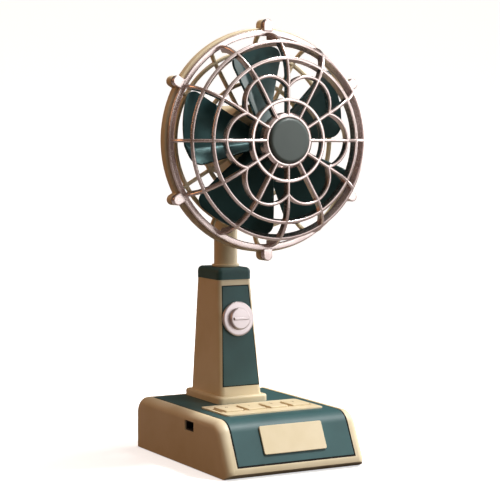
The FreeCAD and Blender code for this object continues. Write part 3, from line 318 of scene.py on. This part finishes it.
def close_tree(tree, geometry, material):
    """End a tree in Realize Instances and Set Material."""
    real = add(tree, "GeometryNodeRealizeInstances", {"Geometry": geometry})
    coated = add(tree, "GeometryNodeSetMaterial", {"Geometry": real.outputs[0], "Material": material})
    add(tree, "NodeGroupOutput", {"Geometry": coated.outputs[0]})


def round_axis_tree():
    """Copies of the object's mesh set at even turns about a fore-and-aft axis."""
    tree, given = new_tree(
        "copies_round_axis", ("Count", "Int", 6), ("First turn", "Float", 0.0), ("Step", "Float", 60.0),
        ("Centre", "Vector", (0, 0, 0)), ("Finish", "Material", None))
    start = add(tree, "ShaderNodeVectorMath", {0: given["Centre"], "Scale": -1.0}, operation="SCALE")
    home = add(tree, "GeometryNodeTransform",
               {"Geometry": given["Geometry"], "Translation": start.outputs["Vector"]})
    spots = add(tree, "GeometryNodePoints", {"Count": given["Count"], "Position": given["Centre"]})
    index = add(tree, "GeometryNodeInputIndex")
    turns = add(tree, "ShaderNodeMath", {0: index.outputs[0], 1: given["Step"], 2: given["First turn"]},
                operation="MULTIPLY_ADD")
    radians = add(tree, "ShaderNodeMath", {0: turns.outputs[0]}, operation="RADIANS")
    turn = add(tree, "FunctionNodeAxisAngleToRotation",
               {"Axis": (0.0, -1.0, 0.0), "Angle": radians.outputs[0]})
    copies = add(tree, "GeometryNodeInstanceOnPoints",
                 {"Points": spots.outputs[0], "Instance": home.outputs[0], "Rotation": turn.outputs[0]})
    close_tree(tree, copies.outputs[0], given["Finish"])
    return tree


def bar_tree():
    """A bar of rounded oblong section along each spline; one side of it lies along a fixed normal."""
    tree, given = new_tree(
        "bar_along_path", ("Along normal", "Float", 0.003), ("Across normal", "Float", 0.007),
        ("Corner", "Float", 0.001), ("Normal", "Vector", (0, 0, 1)), ("Finish", "Material", None))
    aimed = add(tree, "GeometryNodeSetCurveNormal",
                {"Curve": given["Geometry"], "Normal": given["Normal"]}, mode="FREE")
    oblong = add(tree, "GeometryNodeCurvePrimitiveQuadrilateral",
                 {"Width": given["Along normal"], "Height": given["Across normal"]}, mode="RECTANGLE")
    round_off = add(tree, "GeometryNodeFilletCurve",
                    {"Curve": oblong.outputs[0], "Radius": given["Corner"], "Count": 3, "Limit Radius": True},
                    mode="POLY")
    swept = add(tree, "GeometryNodeCurveToMesh",
                {"Curve": aimed.outputs[0], "Profile Curve": round_off.outputs[0], "Fill Caps": True})
    close_tree(tree, swept.outputs[0], given["Finish"])
    return tree


def on_points_tree():
    """Copies of one small object on every vertex of the carrier."""
    tree, given = new_tree("copies_on_points", ("Part", "Object", None), ("Finish", "Material", None))
    part = add(tree, "GeometryNodeObjectInfo", {"Object": given["Part"]})
    copies = add(tree, "GeometryNodeInstanceOnPoints",
                 {"Points": given["Geometry"], "Instance": part.outputs["Geometry"]})
    close_tree(tree, copies.outputs[0], given["Finish"])
    return tree


ROUND_AXIS = round_axis_tree()
BAR = bar_tree()
ON_POINTS = on_points_tree()


def grown(work, tree, material, **inputs):
    """Run a tree on an object and return the plain mesh."""
    modifier = work.modifiers.new(tree.name, "NODES")
    modifier.node_group = tree
    wanted = {name.replace("_", " "): value for name, value in inputs.items()}
    wanted["Finish"] = material
    for socket in tree.interface.items_tree:
        if socket.in_out == "INPUT" and socket.name in wanted:
            modifier[socket.identifier] = wanted[socket.name]
    work.update_tag()
    bpy.context.view_layer.update()
    return plain(work)


def round_hub(mesh, count, material, first=0.0):
    """Even copies of a mesh about the head's axis, counted anticlockwise from the front."""
    return grown(working("copying", mesh), ROUND_AXIS, material, Count=count, First_turn=first,
                 Step=360.0 / count, Centre=tuple(HUB))


def path(name, runs, cyclic=False):
    """A curve object with one straight-sided spline per list of points."""
    curve = bpy.data.curves.new(name, "CURVE")
    curve.dimensions = "3D"
    for points in runs:
        spline = curve.splines.new("POLY")
        spline.points.add(len(points) - 1)
        for knot, point in zip(spline.points, points):
            knot.co = (*point, 1.0)
        spline.use_cyclic_u = cyclic
    return working(name, curve)


# ------------------------------------------------------------------ guards
class Dish:
    """A guard's dished outline: flat in the middle, then a quarter ellipse out to the rim."""

    def __init__(self, rim, flat, depth, plane, forward):
        self.rim, self.flat, self.depth = rim * MM, flat * MM, depth * MM
        self.plane, self.way = plane, (-1 if forward else 1)

    def rise(self, radius):
        if radius <= self.flat:
            return self.depth
        share = min((radius - self.flat) / (self.rim - self.flat), 1)
        return self.depth * math.sqrt(max(1 - share * share, 0))

    def point(self, radius, angle, sink=0.0):
        """A point on the dish, sunk back from its outer face."""
        y = self.plane + self.way * (self.rise(radius) - sink)
        return Vector((radius * math.cos(angle), y, HUB.z + radius * math.sin(angle)))

    def rib(self, inner, sink, steps=30):
        """A rib's middle line from the boss to the rim, along the X axis."""
        made = [self.point(inner * MM, 0, sink)]
        made.append(self.point(self.flat, 0, sink))
        across, up = self.rim - self.flat - sink, self.depth - sink
        for step in range(1, steps + 1):
            t = math.pi / 2 * step / steps
            y = self.plane + self.way * up * math.cos(t)
            made.append(Vector((self.flat + across * math.sin(t), y, HUB.z)))
        return made


FRONT = Dish(88, 50, 35, RIM_PLANE, True)
REAR = Dish(90, 72, 14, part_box("rear_guard")[0][1] + 7 * MM, False)
RIBS, PETALS, LUGS, BLADES = 12, 6, 6, 5
LUG_CENTRE, LUG_HALF, LUG_TURN, LUG_EDGE = 94.5, 4.4, 30.0, 1.0
SLOPE_SHARE = 0.6
RING_CORNER = 0.95


def ring_section(dish, radius, wide, deep):
    """A ring's section on a dish: square to the dish's slope, as deep as the ribs."""
    radius *= MM
    step = 0.5 * MM
    slope = math.atan2(dish.rise(radius - step) - dish.rise(radius + step), 2 * step)
    outward = Vector((math.sin(slope * SLOPE_SHARE), math.cos(slope * SLOPE_SHARE)))
    along = Vector((outward.y, -outward.x))
    top = Vector((radius, dish.rise(radius)))
    half = wide / 2 * MM
    corners = [top + along * half, top - along * half,
               top - along * half - outward * deep * MM, top + along * half - outward * deep * MM]
    made = []
    for corner in corners:
        made.append((corner.x, -(dish.plane + dish.way * corner.y) + HUB.y))
    return rounded_section(made, RING_CORNER * MM)


def stadium(name, inner, back, front):
    """A lug: a block from the rim that ends in a half round, pointing along +X."""
    half, steps = LUG_HALF, 12
    outline = [(inner * MM, -half * MM), (inner * MM, half * MM)]
    for step in range(steps + 1):
        turn = math.pi / 2 - math.pi * step / steps
        outline.append(((LUG_CENTRE + half * math.cos(turn)) * MM, half * MM * math.sin(turn)))
    count = len(outline)
    points = [Vector((x, back, z)) for x, z in outline] + [Vector((x, front, z)) for x, z in outline]
    faces = [list(range(count)), list(range(count, 2 * count))]
    for i in range(count):
        after = (i + 1) % count
        faces.append([i, after, count + after, count + i])
    mesh = mesh_from(name, points, faces)
    mesh.transform(Matrix.Translation((0, 0, HUB.z)))
    return eased(mesh, LUG_EDGE * MM)


def front_guard():
    """Twelve dished ribs, three rings and six petal loops, cast in one with the hoop and the boss."""
    deep, wide, petal_wide, corner = 6.6, 2.8, 2.7, 1.15
    rib = path("rib_line", [FRONT.rib(19, deep / 2 * MM)])
    rib_mesh = grown(rib, BAR, guard_nickel, Along_normal=wide * MM, Across_normal=deep * MM,
                     Corner=corner * MM, Normal=(0.0, 0.0, 1.0))
    ribs = round_hub(rib_mesh, RIBS, guard_nickel)
    loop = []
    centre, radius, sweep, steps = 33.7, 21.8, 220, 60
    widest, nearest = math.radians(30.5), 30
    for step in range(steps + 1):
        turn = math.radians(-sweep / 2 + sweep * step / steps)
        x, z = centre + radius * math.cos(turn), radius * math.sin(turn)
        reach, angle = math.hypot(x, z), math.atan2(z, x)
        if abs(angle) <= widest and x > nearest:
            loop.append(FRONT.point(reach * MM, angle, deep / 2 * MM))
    petal = grown(path("petal_line", [loop]), BAR, guard_nickel, Along_normal=deep * MM,
                  Across_normal=petal_wide * MM, Corner=corner * MM, Normal=(0.0, -1.0, 0.0))
    petals = round_hub(petal, PETALS, guard_nickel)
    rings = [turned(f"ring_{i}", ring_section(FRONT, radius, 2.9, deep), True)
             for i, radius in enumerate((32.5, 66, 80))]
    back, face = -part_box("front_guard")[1][1], -RIM_PLANE
    hoop = turned("hoop", rounded_section(
        [(90 * MM, face), (85 * MM, face), (85 * MM, back), (90 * MM, back)], 0.9 * MM), True)
    nose = -GUARD_FACE
    boss = turned("boss", [
        (0, nose - 9 * MM), (21.6 * MM, nose - 9 * MM), (22.5 * MM, nose - 8 * MM),
        (22.5 * MM, nose - 2.4 * MM), (22.2 * MM, nose - 1.7 * MM), (21.4 * MM, nose - 1.1 * MM),
        (20.7 * MM, nose - 0.3 * MM), (20.2 * MM, nose), (18.9 * MM, nose), (18.5 * MM, nose - 0.3 * MM),
        (18.3 * MM, nose - 1.2 * MM), (18.3 * MM, nose - 3.9 * MM), (0, nose - 3.9 * MM)])
    lug = stadium("lug", 88.6, -back, RIM_PLANE - 0.9 * MM)
    lugs = round_hub(lug, LUGS, guard_nickel, first=LUG_TURN)
    solid = joined("front_guard_casting", ribs, petals, *rings, hoop, boss, lugs)
    piece("front_guard_casting", eased(solid, 0), guard_nickel, "head", "guard_metal", "front_guard")
    nose = -CAP_FACE
    cap = turned("guard_cap", [
        (0, nose - 5.5 * MM), (17.8 * MM, nose - 5.5 * MM), (18 * MM, nose - 2.4 * MM),
        (17.75 * MM, nose - 1.4 * MM), (17.1 * MM, nose - 0.55 * MM), (16.2 * MM, nose - 0.12 * MM),
        (15.2 * MM, nose), (0, nose)])
    piece("guard_cap_disc", eased(cap, 0), cap_paint, "head", "teal_plastic", "guard_cap")


def rear_guard():
    """Twelve spokes and two rings, moulded in one with the band, the lugs and the mounting plate."""
    deep = 4
    spoke = path("spoke_line", [REAR.rib(26, deep / 2 * MM)])
    spoke_mesh = grown(spoke, BAR, cream_abs, Along_normal=2.8 * MM, Across_normal=deep * MM,
                       Corner=0.9 * MM, Normal=(0.0, 0.0, 1.0))
    spokes = round_hub(spoke_mesh, RIBS, cream_abs)
    rings = [turned(f"rear_ring_{i}", ring_section(REAR, radius, 3, deep), True)
             for i, radius in enumerate((48, 73))]
    front = -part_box("rear_guard")[0][1]
    back = front - 8 * MM
    band = turned("rear_band", rounded_section(
        [(91.7 * MM, front), (87.2 * MM, front), (87.2 * MM, back), (91.7 * MM, back)], 1.1 * MM), True)
    face = front - 18 * MM
    plate = turned("mounting_plate", rounded_section(
        [(15.2 * MM, face), (30 * MM, face), (30 * MM, face - 4 * MM), (15.2 * MM, face - 4 * MM)],
        0.8 * MM), True)
    lug = stadium("rear_lug", 89.6, -front + 0.2 * MM, -front + 8.5 * MM)
    lugs = round_hub(lug, LUGS, cream_abs, first=LUG_TURN)
    solid = joined("rear_guard_moulding", spokes, *rings, band, plate, lugs)
    piece("rear_guard_moulding", eased(solid, 0), cream_abs, "head", "cream_plastic", "rear_guard")


# ------------------------------------------------------------------ screws
def screw_head(radius, high, slot_deep):
    """A pan head with a cross recess, standing along -Y from its seat."""
    profile = [(0, 0), (radius, 0), (radius, high * 0.45), (radius * 0.86, high * 0.82),
               (radius * 0.6, high), (0, high)]
    head = turned("screw_head", profile, steps=24, matrix=Matrix())
    work = working("screw_cut", head)
    cutter = bmesh.new()
    for along, across in ((radius * 0.62, radius * 0.13), (radius * 0.13, radius * 0.62)):
        box = bmesh.ops.create_cube(cutter, size=1)
        bmesh.ops.scale(cutter, vec=(along * 2, slot_deep * 2, across * 2), verts=box["verts"])
        bmesh.ops.translate(cutter, vec=(0, -high, 0), verts=box["verts"])
    mesh = bpy.data.meshes.new("cross")
    cutter.to_mesh(mesh)
    cutter.free()
    tool = working("cross_tool", mesh)
    trim = work.modifiers.new("cross", "BOOLEAN")
    trim.object = tool
    trim.operation = "DIFFERENCE"
    trim.use_self = True
    made = plain(work)
    bpy.data.objects.remove(tool)
    return made


def screw_set(name, places, matrix, radius, high, body, node):
    """Screw heads on a set of places; the matrix turns the -Y head to its own axis."""
    head = screw_head(radius, high, high * 0.6)
    head.transform(matrix)
    part = working(name + "_part", head)
    carrier = bpy.data.meshes.new(name + "_places")
    carrier.from_pydata([tuple(place) for place in places], [], [])
    mesh = grown(working(name + "_carrier", carrier), ON_POINTS, screw_zinc, Part=part)
    bpy.data.objects.remove(part)
    piece(name, eased(mesh, 0), screw_zinc, body, "screw_steel", node)


def round_places(reach, degrees, y):
    """Places at some angles about the head's axis."""
    turns = [math.radians(angle) for angle in degrees]
    return [(HUB.x + reach * MM * math.cos(a), y, HUB.z + reach * MM * math.sin(a)) for a in turns]


def screw_pieces():
    """Every screw that shows from outside, each set in its own node's place."""
    up = Matrix.Rotation(math.radians(180), 4, "X")
    down = Matrix.Rotation(math.radians(90), 4, "X")
    radius, high = 2.5 * MM, 1.5 * MM
    seats = round_places(LUG_CENTRE, range(30, 360, 60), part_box("guard_screws")[0][1] + high)
    screw_set("guard_screw_heads", seats, Matrix(), radius, high, "head", "guard_screws")
    radius, high = 2.2 * MM, 1.4 * MM
    seats = round_places(24.6, (90, 210, 330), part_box("rear_cover_screws")[1][1] - high)
    screw_set("rear_cover_screw_heads", seats, up, radius, high, "head", "rear_cover_screws")
    radius, high = 2.6 * MM, 0.9 * MM
    for node in ("base_screws", "ballast_screws"):
        near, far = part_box(node)
        rows = (near[1] + radius, far[1] - radius) if node == "base_screws" else (near[1] + radius,)
        seats = [(x, y, near[2] + high) for x in (near[0] + radius, far[0] - radius) for y in rows]
        screw_set(node + "_heads", seats, down, radius, high, "stand", node)


# ------------------------------------------------------------------ blades
def blade_sheet():
    """One blade pointing up: twisted, widening to a round-cornered tip, its forward edge turned up."""
    rows, columns = 44, 34
    first, last, corner = 12.5, 77.3, 9.0
    half_root, half_tip = 7.9, 33.2
    pitch_root, pitch_tip = 34, 17
    plane, cupping, fold_start, fold_blend = -33, 1.2, 0.56, 1.2
    fold = math.tan(math.radians(30))
    points, faces = [], []
    for i in range(rows + 1):
        t = 1 - (1 - i / rows) ** 1.25
        radius = first + (last - first) * t
        share = (radius - first) / (last - first)
        half = half_root + (half_tip - half_root) * share
        over = max(radius - (last - corner), 0)
        half -= corner - math.sqrt(max(corner ** 2 - over ** 2, 0))
        pitch = math.radians(pitch_root + (pitch_tip - pitch_root) * share)
        for j in range(columns + 1):
            s = -1 + 2 * j / columns
            place = s * half
            bend = max(-fold_start * half - place, 0)
            soft = bend * bend / (bend + fold_blend) if bend else 0
            y = plane + place * math.tan(pitch) - soft * fold - cupping * (1 - s * s) * share
            angle = place / radius
            points.append(Vector((radius * math.sin(angle), y, radius * math.cos(angle))) * MM)
    for i in range(rows):
        for j in range(columns):
            here = i * (columns + 1) + j
            faces.append([here, here + 1, here + columns + 2, here + columns + 1])
    mesh = mesh_from("blade_sheet", points, faces)
    mesh.transform(Matrix.Translation(HUB))
    work = working("blade", mesh)
    wall = work.modifiers.new("wall", "SOLIDIFY")
    wall.thickness = 1.9 * MM
    wall.offset = 0
    bevel = work.modifiers.new("edges", "BEVEL")
    bevel.width = 0.5 * MM
    bevel.segments = 2
    bevel.limit_method = "ANGLE"
    bevel.angle_limit = math.radians(50)
    return plain(work)


def fan_blade():
    """The rotor: five blades on a cup-shaped hub."""
    front = 43
    hub = turned("blade_hub", [
        (2.6 * MM, front * MM), (12.6 * MM, front * MM), (13.9 * MM, (front - 0.6) * MM),
        (14.8 * MM, (front - 1.9) * MM), (15 * MM, (front - 3) * MM), (15 * MM, 18.4 * MM),
        (14.6 * MM, 18 * MM), (13.2 * MM, 18 * MM), (13 * MM, 18.4 * MM), (13 * MM, (front - 3.5) * MM),
        (5 * MM, (front - 3.5) * MM), (5 * MM, 20 * MM), (2.6 * MM, 20 * MM)], True)
    blades = round_hub(blade_sheet(), BLADES, blade_pp, first=9.0)
    solid = joined("blade_set", blades, hub)
    piece("blade_set", eased(solid, 0), blade_pp, "rotor", "blade_plastic", "fan_blade")


# ------------------------------------------------------------------ dial
# The column's front leans back: heights run along it and depths out of it, both from its foot.
COLUMN_LEAN = math.radians(7.21)
ALONG = Vector((0, math.sin(COLUMN_LEAN), math.cos(COLUMN_LEAN)))
OUT = Vector((0, -math.cos(COLUMN_LEAN), math.sin(COLUMN_LEAN)))
COLUMN_FRONT = Vector((0, 8.6, 51))
DIAL_HEIGHT = 65.1


def dial():
    """The speed knob: a thin skirt, a plain barrel and a grip bar across its face."""
    seat = (COLUMN_FRONT + ALONG * DIAL_HEIGHT) * MM
    frame_of_dial = Matrix((
        (1, 0, 0, seat.x), (0, -OUT.y, ALONG.y, seat.y), (0, -OUT.z, ALONG.z, seat.z), (0, 0, 0, 1)))
    profile = [(0, 2.4), (6.5, 2.4), (6.5, 0.4), (14.3, 0.4), (14.75, 0.8), (14.75, 1.9), (14.5, 2.5),
               (13.9, 2.85), (13.2, 2.9), (9.7, 2.9), (9.35, 3.05), (9.3, 3.4), (9.3, 5.9), (9.15, 6.5),
               (8.7, 6.9), (8.1, 7.0), (0, 7.0)]
    body = turned("dial_body", [(r * MM, h * MM) for r, h in profile], matrix=frame_of_dial)
    grip = block("dial_grip", (13.9, 3.0, 2.4), (0, -7.25, 0))
    grip.transform(frame_of_dial)
    solid = joined("dial_knob", body, eased(grip, 0.5 * MM))
    piece("dial_knob", eased(solid, 0), knob_alloy, "dial", "knob_metal", "speed_knob")


# ------------------------------------------------------------------ key figures and grooves
def key_figures():
    """A plain printed figure on each key."""
    behind, proud = 4 * MM, 0.02 * MM
    for number in (1, 2, 3, 4):
        low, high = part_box(f"key_{number}")
        letters = bpy.data.curves.new(f"figure_{number}", "FONT")
        letters.body = str(number - 1)
        letters.size = 5.4 * MM
        letters.extrude = 0.03 * MM
        letters.align_x = "CENTER"
        letters.align_y = "CENTER"
        mesh = plain(working(f"figure_{number}", letters))
        place = ((low[0] + high[0]) / 2, (low[1] + high[1]) / 2 + behind, KEY_TOP + proud)
        mesh.transform(Matrix.Translation(place))
        piece(f"key_figure_{number}", mesh, print_ink, f"button_{number}", "cream_plastic")


def groove_ribs():
    """Small bars across each groove of the key block, coloured tan as painted shade."""
    low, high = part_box("key_bezel")
    middle, pitch, grooves = (low[0] + high[0]) / 2, 21 * MM, 5
    first, gap, bars, sunk = -33.4, 2.96, 6, 0.5 * MM
    part = working("groove_bar", eased(block("groove_bar", (1.9, 1.9, 0.7)), 0.3 * MM, 2))
    places = []
    for groove in range(grooves):
        for step in range(bars):
            x = middle + (groove - grooves // 2) * pitch
            places.append((x, (first + gap * step) * MM, high[2] - sunk))
    carrier = bpy.data.meshes.new("groove_places")
    carrier.from_pydata(places, [], [])
    ribs = grown(working("groove_carrier", carrier), ON_POINTS, groove_shade_tan, Part=part)
    bpy.data.objects.remove(part)
    piece("groove_bars", ribs, groove_shade_tan, "stand", "cream_plastic")


# ------------------------------------------------------------------ black strips of painted shade in the seams
SEAM_SHADE_DEPTH = 0.3


def seam_shade_strip(name, loop, wide, deep):
    """A flat black strip of painted shade round a seam; the loop gives a place, an outward way and an upward
    way.
    """
    points, faces = [], []
    for place, outward, upward in loop:
        for side, drop in ((-0.5, 0), (0.5, 0), (0.5, 1), (-0.5, 1)):
            points.append((place + outward * side * wide - upward * drop * deep) * MM)
    for step in range(len(loop)):
        near, far = 4 * step, 4 * ((step + 1) % len(loop))
        for edge in range(4):
            turn = (edge + 1) % 4
            faces.append([near + edge, near + turn, far + turn, far + edge])
    piece(name, mesh_from(name, points, faces), seam_shade_black, "stand", "rubber_feet")


def cover_seal():
    """The black strip of painted shade round the teal cover: along the top, over the bend and down the slope.
    """
    half, rear, top, bend, low = 54.3, 70.7, 45.0, 16.0, 10.7
    lean, steps = math.radians(26.37), 12
    middle = Vector((0, -59.08, top - bend))
    side = [(Vector((0, rear, top)), Vector((0, 0, 1)))]
    for step in range(steps + 1):
        turn = (math.pi / 2 - lean) * step / steps
        normal = Vector((0, -math.sin(turn), math.cos(turn)))
        side.append((middle + normal * bend, normal))
    down = Vector((0, -math.sin(lean), -math.cos(lean)))
    end, normal = side[-1]
    side.append((end + down * ((end.z - low) / math.cos(lean)), normal))
    loop = []
    for sign in (-1, 1):
        run = []
        for number, (place, upward) in enumerate(side):
            outward = Vector((sign, 0, 0))
            outward += {0: Vector((0, 1, 0)), len(side) - 1: down}.get(number, Vector())
            run.append((place + Vector((sign * half, 0, 0)) - upward * SEAM_SHADE_DEPTH, outward, upward))
        loop += run if sign < 0 else run[::-1]
    seam_shade_strip("cover_seal", loop, 1.3, 1.2)


def panel_seal():
    """The black strip of painted shade round the panel that is let into the column's leaning front."""
    half_low, half_top, low, top = 17.24, 12.64, 8.2, 93.5
    loop = []
    for half, height, side, rise in ((half_low, low, -1, -1), (half_low, low, 1, -1),
                                     (half_top, top, 1, 1), (half_top, top, -1, 1)):
        place = COLUMN_FRONT + Vector((side * half, 0, 0)) + ALONG * height - OUT * SEAM_SHADE_DEPTH
        loop.append((place, Vector((side, 0, 0)) + ALONG * rise, OUT))
    seam_shade_strip("panel_seal", loop, 0.76, 0.9)


# ------------------------------------------------------------------ assembly
front_guard()
rear_guard()
screw_pieces()
fan_blade()
dial()
key_figures()
# Bars in the key grooves, coloured tan as painted shade.
groove_ribs()
# Black strips of painted shade in the seams round the teal cover and the panel.
cover_seal()
panel_seal()

# CAD nodes that keep their shape and get rounded edges: node, material, body, slot, width in millimetres.
EASED = [
    ("base_shell", cream_abs, "stand", "cream_plastic", 0.25),
    ("base_cover", teal_abs, "stand", "teal_plastic", 0.25),
    ("name_plate", cream_abs, "stand", "cream_plastic", 0.35),
    ("key_bezel", cream_abs, "stand", "cream_plastic", 0.25),
    ("column_foot", cream_abs, "stand", "cream_plastic", 0.4),
    ("column_shell", cream_abs, "stand", "cream_plastic", 0.3),
    ("column_panel", teal_abs, "stand", "teal_plastic", 0.25),
    ("column_cap", teal_abs, "stand", "teal_plastic", 0.3),
    ("inlet_socket", black_nylon, "stand", "black_plastic", 0.15),
    ("bottom_plate", sheet_zinc, "stand", "plated_steel", 0.2),
    ("rubber_feet", foot_rubber, "stand", "rubber_feet", 0.5),
    ("key_1", cream_abs, "button_1", "cream_plastic", 0.2),
    ("key_2", cream_abs, "button_2", "cream_plastic", 0.2),
    ("key_3", cream_abs, "button_3", "cream_plastic", 0.2),
    ("key_4", cream_abs, "button_4", "cream_plastic", 0.2),
    ("post_tube", cream_abs, "neck", "cream_plastic", 0.2),
    ("post_collar", cream_abs, "neck", "cream_plastic", 0.5),
    ("neck_yoke", cream_abs, "neck", "cream_plastic", 0.5),
    ("tilt_knob", teal_abs, "neck", "teal_plastic", 0.5),
    ("tilt_bolt", screw_zinc, "neck", "screw_steel", 0.3),
    ("motor_housing", cream_abs, "head", "cream_plastic", 0.5),
    ("motor_rear_cover", teal_abs, "head", "teal_plastic", 0.3),
    ("blade_nut", screw_zinc, "rotor", "screw_steel", 0.4),
    ("motor_shaft", screw_zinc, "rotor", "screw_steel", 0.3),
]
for node, material, body, slot, width in EASED:
    eased_node(node, material, body, slot, width * MM)

# Inner nodes that keep the CAD shape as it is, by material.
HIDDEN = {
    screw_zinc: ("rear_guard_screws", "motor_screws", "cap_screws", "column_screws", "board_screws",
                 "retaining_ring", "control_spindle", "control_nut"),
    sheet_zinc: ("motor_can",),
    cast_iron: ("armature_core", "ballast_weight", "field_magnets"),
    copper: ("armature_coils", "commutator", "motor_brushes"),
    bronze: ("front_bush", "rear_bush"),
    black_nylon: ("motor_end_cap", "swivel_socket", "speed_control", "tilt_washers"),
    board_mask: ("circuit_board",),
    foot_rubber: ("key_dome_1", "key_dome_2", "key_dome_3", "key_dome_4"),
}
for material, nodes in HIDDEN.items():
    for node in nodes:
        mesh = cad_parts[node].data
        mesh.materials.clear()
        mesh.materials.append(material)


# ------------------------------------------------------------------ stage
def stage():
    """A pale sheet that runs back from the fan and curves up behind it."""
    near, far, bend, tall, half, steps = -3.2, 2.2, 1.6, 5.0, 5.0, 24
    profile = [(near, 0), (far, 0)]
    for step in range(1, steps + 1):
        turn = math.pi / 2 * step / steps
        profile.append((far + bend * math.sin(turn), bend - bend * math.cos(turn)))
    profile.append((far + bend, tall))
    facing = Matrix.Rotation(math.radians(-28.6), 4, "Z")
    points = [facing @ Vector((x, y, z)) for y, z in profile for x in (-half, half)]
    faces = [[2 * i, 2 * i + 1, 2 * i + 3, 2 * i + 2] for i in range(len(profile) - 1)]
    mesh = bpy.data.meshes.new("studio_sheet")
    mesh.from_pydata([tuple(p) for p in points], [], faces)
    mesh.shade_smooth()
    # Seamless paper: white to look at, while the light that it throws back is kept warm and low.
    paper = bpy.data.materials.new("seamless_white_paper")
    paper.use_nodes = True
    tree = paper.node_tree
    tree.nodes.clear()
    seen = add(tree, "ShaderNodeLightPath").outputs["Is Camera Ray"]
    white = add(tree, "ShaderNodeBsdfDiffuse", {"Color": linear("#FBFAF8")})
    glow = add(tree, "ShaderNodeEmission", {"Color": linear("#FFFFFF"), "Strength": 0.62})
    bright = add(tree, "ShaderNodeAddShader", {0: white.outputs[0], 1: glow.outputs[0]})
    mirrored = add(tree, "ShaderNodeLightPath").outputs["Is Glossy Ray"]
    warm = add(tree, "ShaderNodeBsdfDiffuse", {"Color": linear("#36261A")})
    pale = add(tree, "ShaderNodeBsdfDiffuse", {"Color": linear("#8E8682")})
    thrown = add(tree, "ShaderNodeMixShader", {0: mirrored, 1: warm.outputs[0], 2: pale.outputs[0]})
    mixed = add(tree, "ShaderNodeMixShader", {0: seen, 1: thrown.outputs[0], 2: bright.outputs[0]})
    add(tree, "ShaderNodeOutputMaterial", {"Surface": mixed.outputs[0]})
    mesh.materials.append(paper)
    working("studio_sheet", mesh)


def studio_air():
    """Soft room light: pale from the right and above, warm brown from the left and below.

    It is plain white where the camera looks past the sheet.
    """
    world = bpy.data.worlds.new("studio_air")
    bpy.context.scene.world = world
    world.use_nodes = True
    tree = world.node_tree
    tree.nodes.clear()
    way = add(tree, "ShaderNodeTexCoord").outputs["Generated"]
    side = add(tree, "ShaderNodeVectorMath", {0: way, 1: (0.80, -0.22, 0.55)}, operation="DOT_PRODUCT")
    span = add(tree, "ShaderNodeMapRange",
               {"Value": side.outputs["Value"], "From Min": -1.0, "From Max": 1.0})
    shades = add(tree, "ShaderNodeValToRGB", {"Fac": span.outputs["Result"]})
    ramp = shades.color_ramp
    ramp.elements[0].position, ramp.elements[0].color = 0.2, linear("#5E4128")
    ramp.elements[1].position, ramp.elements[1].color = 0.92, linear("#FFF8F2")
    middle = ramp.elements.new(0.55)
    middle.color = linear("#93857B")
    sky = add(tree, "ShaderNodeBackground", {"Color": shades.outputs["Color"], "Strength": 0.9})
    seen = add(tree, "ShaderNodeLightPath").outputs["Is Camera Ray"]
    paper = add(tree, "ShaderNodeBackground", {"Color": linear("#FFFFFF")})
    mixed = add(tree, "ShaderNodeMixShader", {0: seen, 1: sky.outputs[0], 2: paper.outputs[0]})
    add(tree, "ShaderNodeOutputWorld", {"Surface": mixed.outputs[0]})


def lamp(name, place, size, power, colour):
    """A soft panel of light that faces the fan."""
    light = bpy.data.lights.new(name, "AREA")
    light.shape = "RECTANGLE"
    light.size, light.size_y = size
    light.energy = power
    light.color = linear(colour)[:3]
    holder = working(name, light)
    holder.location = place
    holder.rotation_euler = (TARGET - Vector(place)).to_track_quat("-Z", "Y").to_euler()


stage()
studio_air()
TARGET = Vector((0, 0, 0.2))
KEY_WAY, KEY_REACH = Vector((0.408, -0.302, 0.861)), 1.9
lamp("key_softbox", TARGET + KEY_WAY * KEY_REACH, (0.28, 0.28), 38, "#FFFFFF")
lamp("right_panel", (1.6, 0.3, 0.5), (0.8, 1.4), 17, "#FFFFFF")
lamp("front_panel", (1.1, -1.7, 0.45), (1.1, 1.3), 9, "#FFFFFF")
lamp("left_glow", (-1.7, 0.9, 1.0), (0.9, 0.9), 7.5, "#FFBC88")

camera_data = bpy.data.cameras.new("camera")
camera_data.lens = 117.5
camera_data.sensor_width = 36
camera = working("camera", camera_data)
camera.location = (-0.6541, -1.2051, 0.2709)
camera.rotation_euler = (math.radians(90 - 3.98), 0, math.radians(-28.61))
bpy.context.scene.camera = camera
bpy.context.scene.view_settings.view_transform = "Standard"
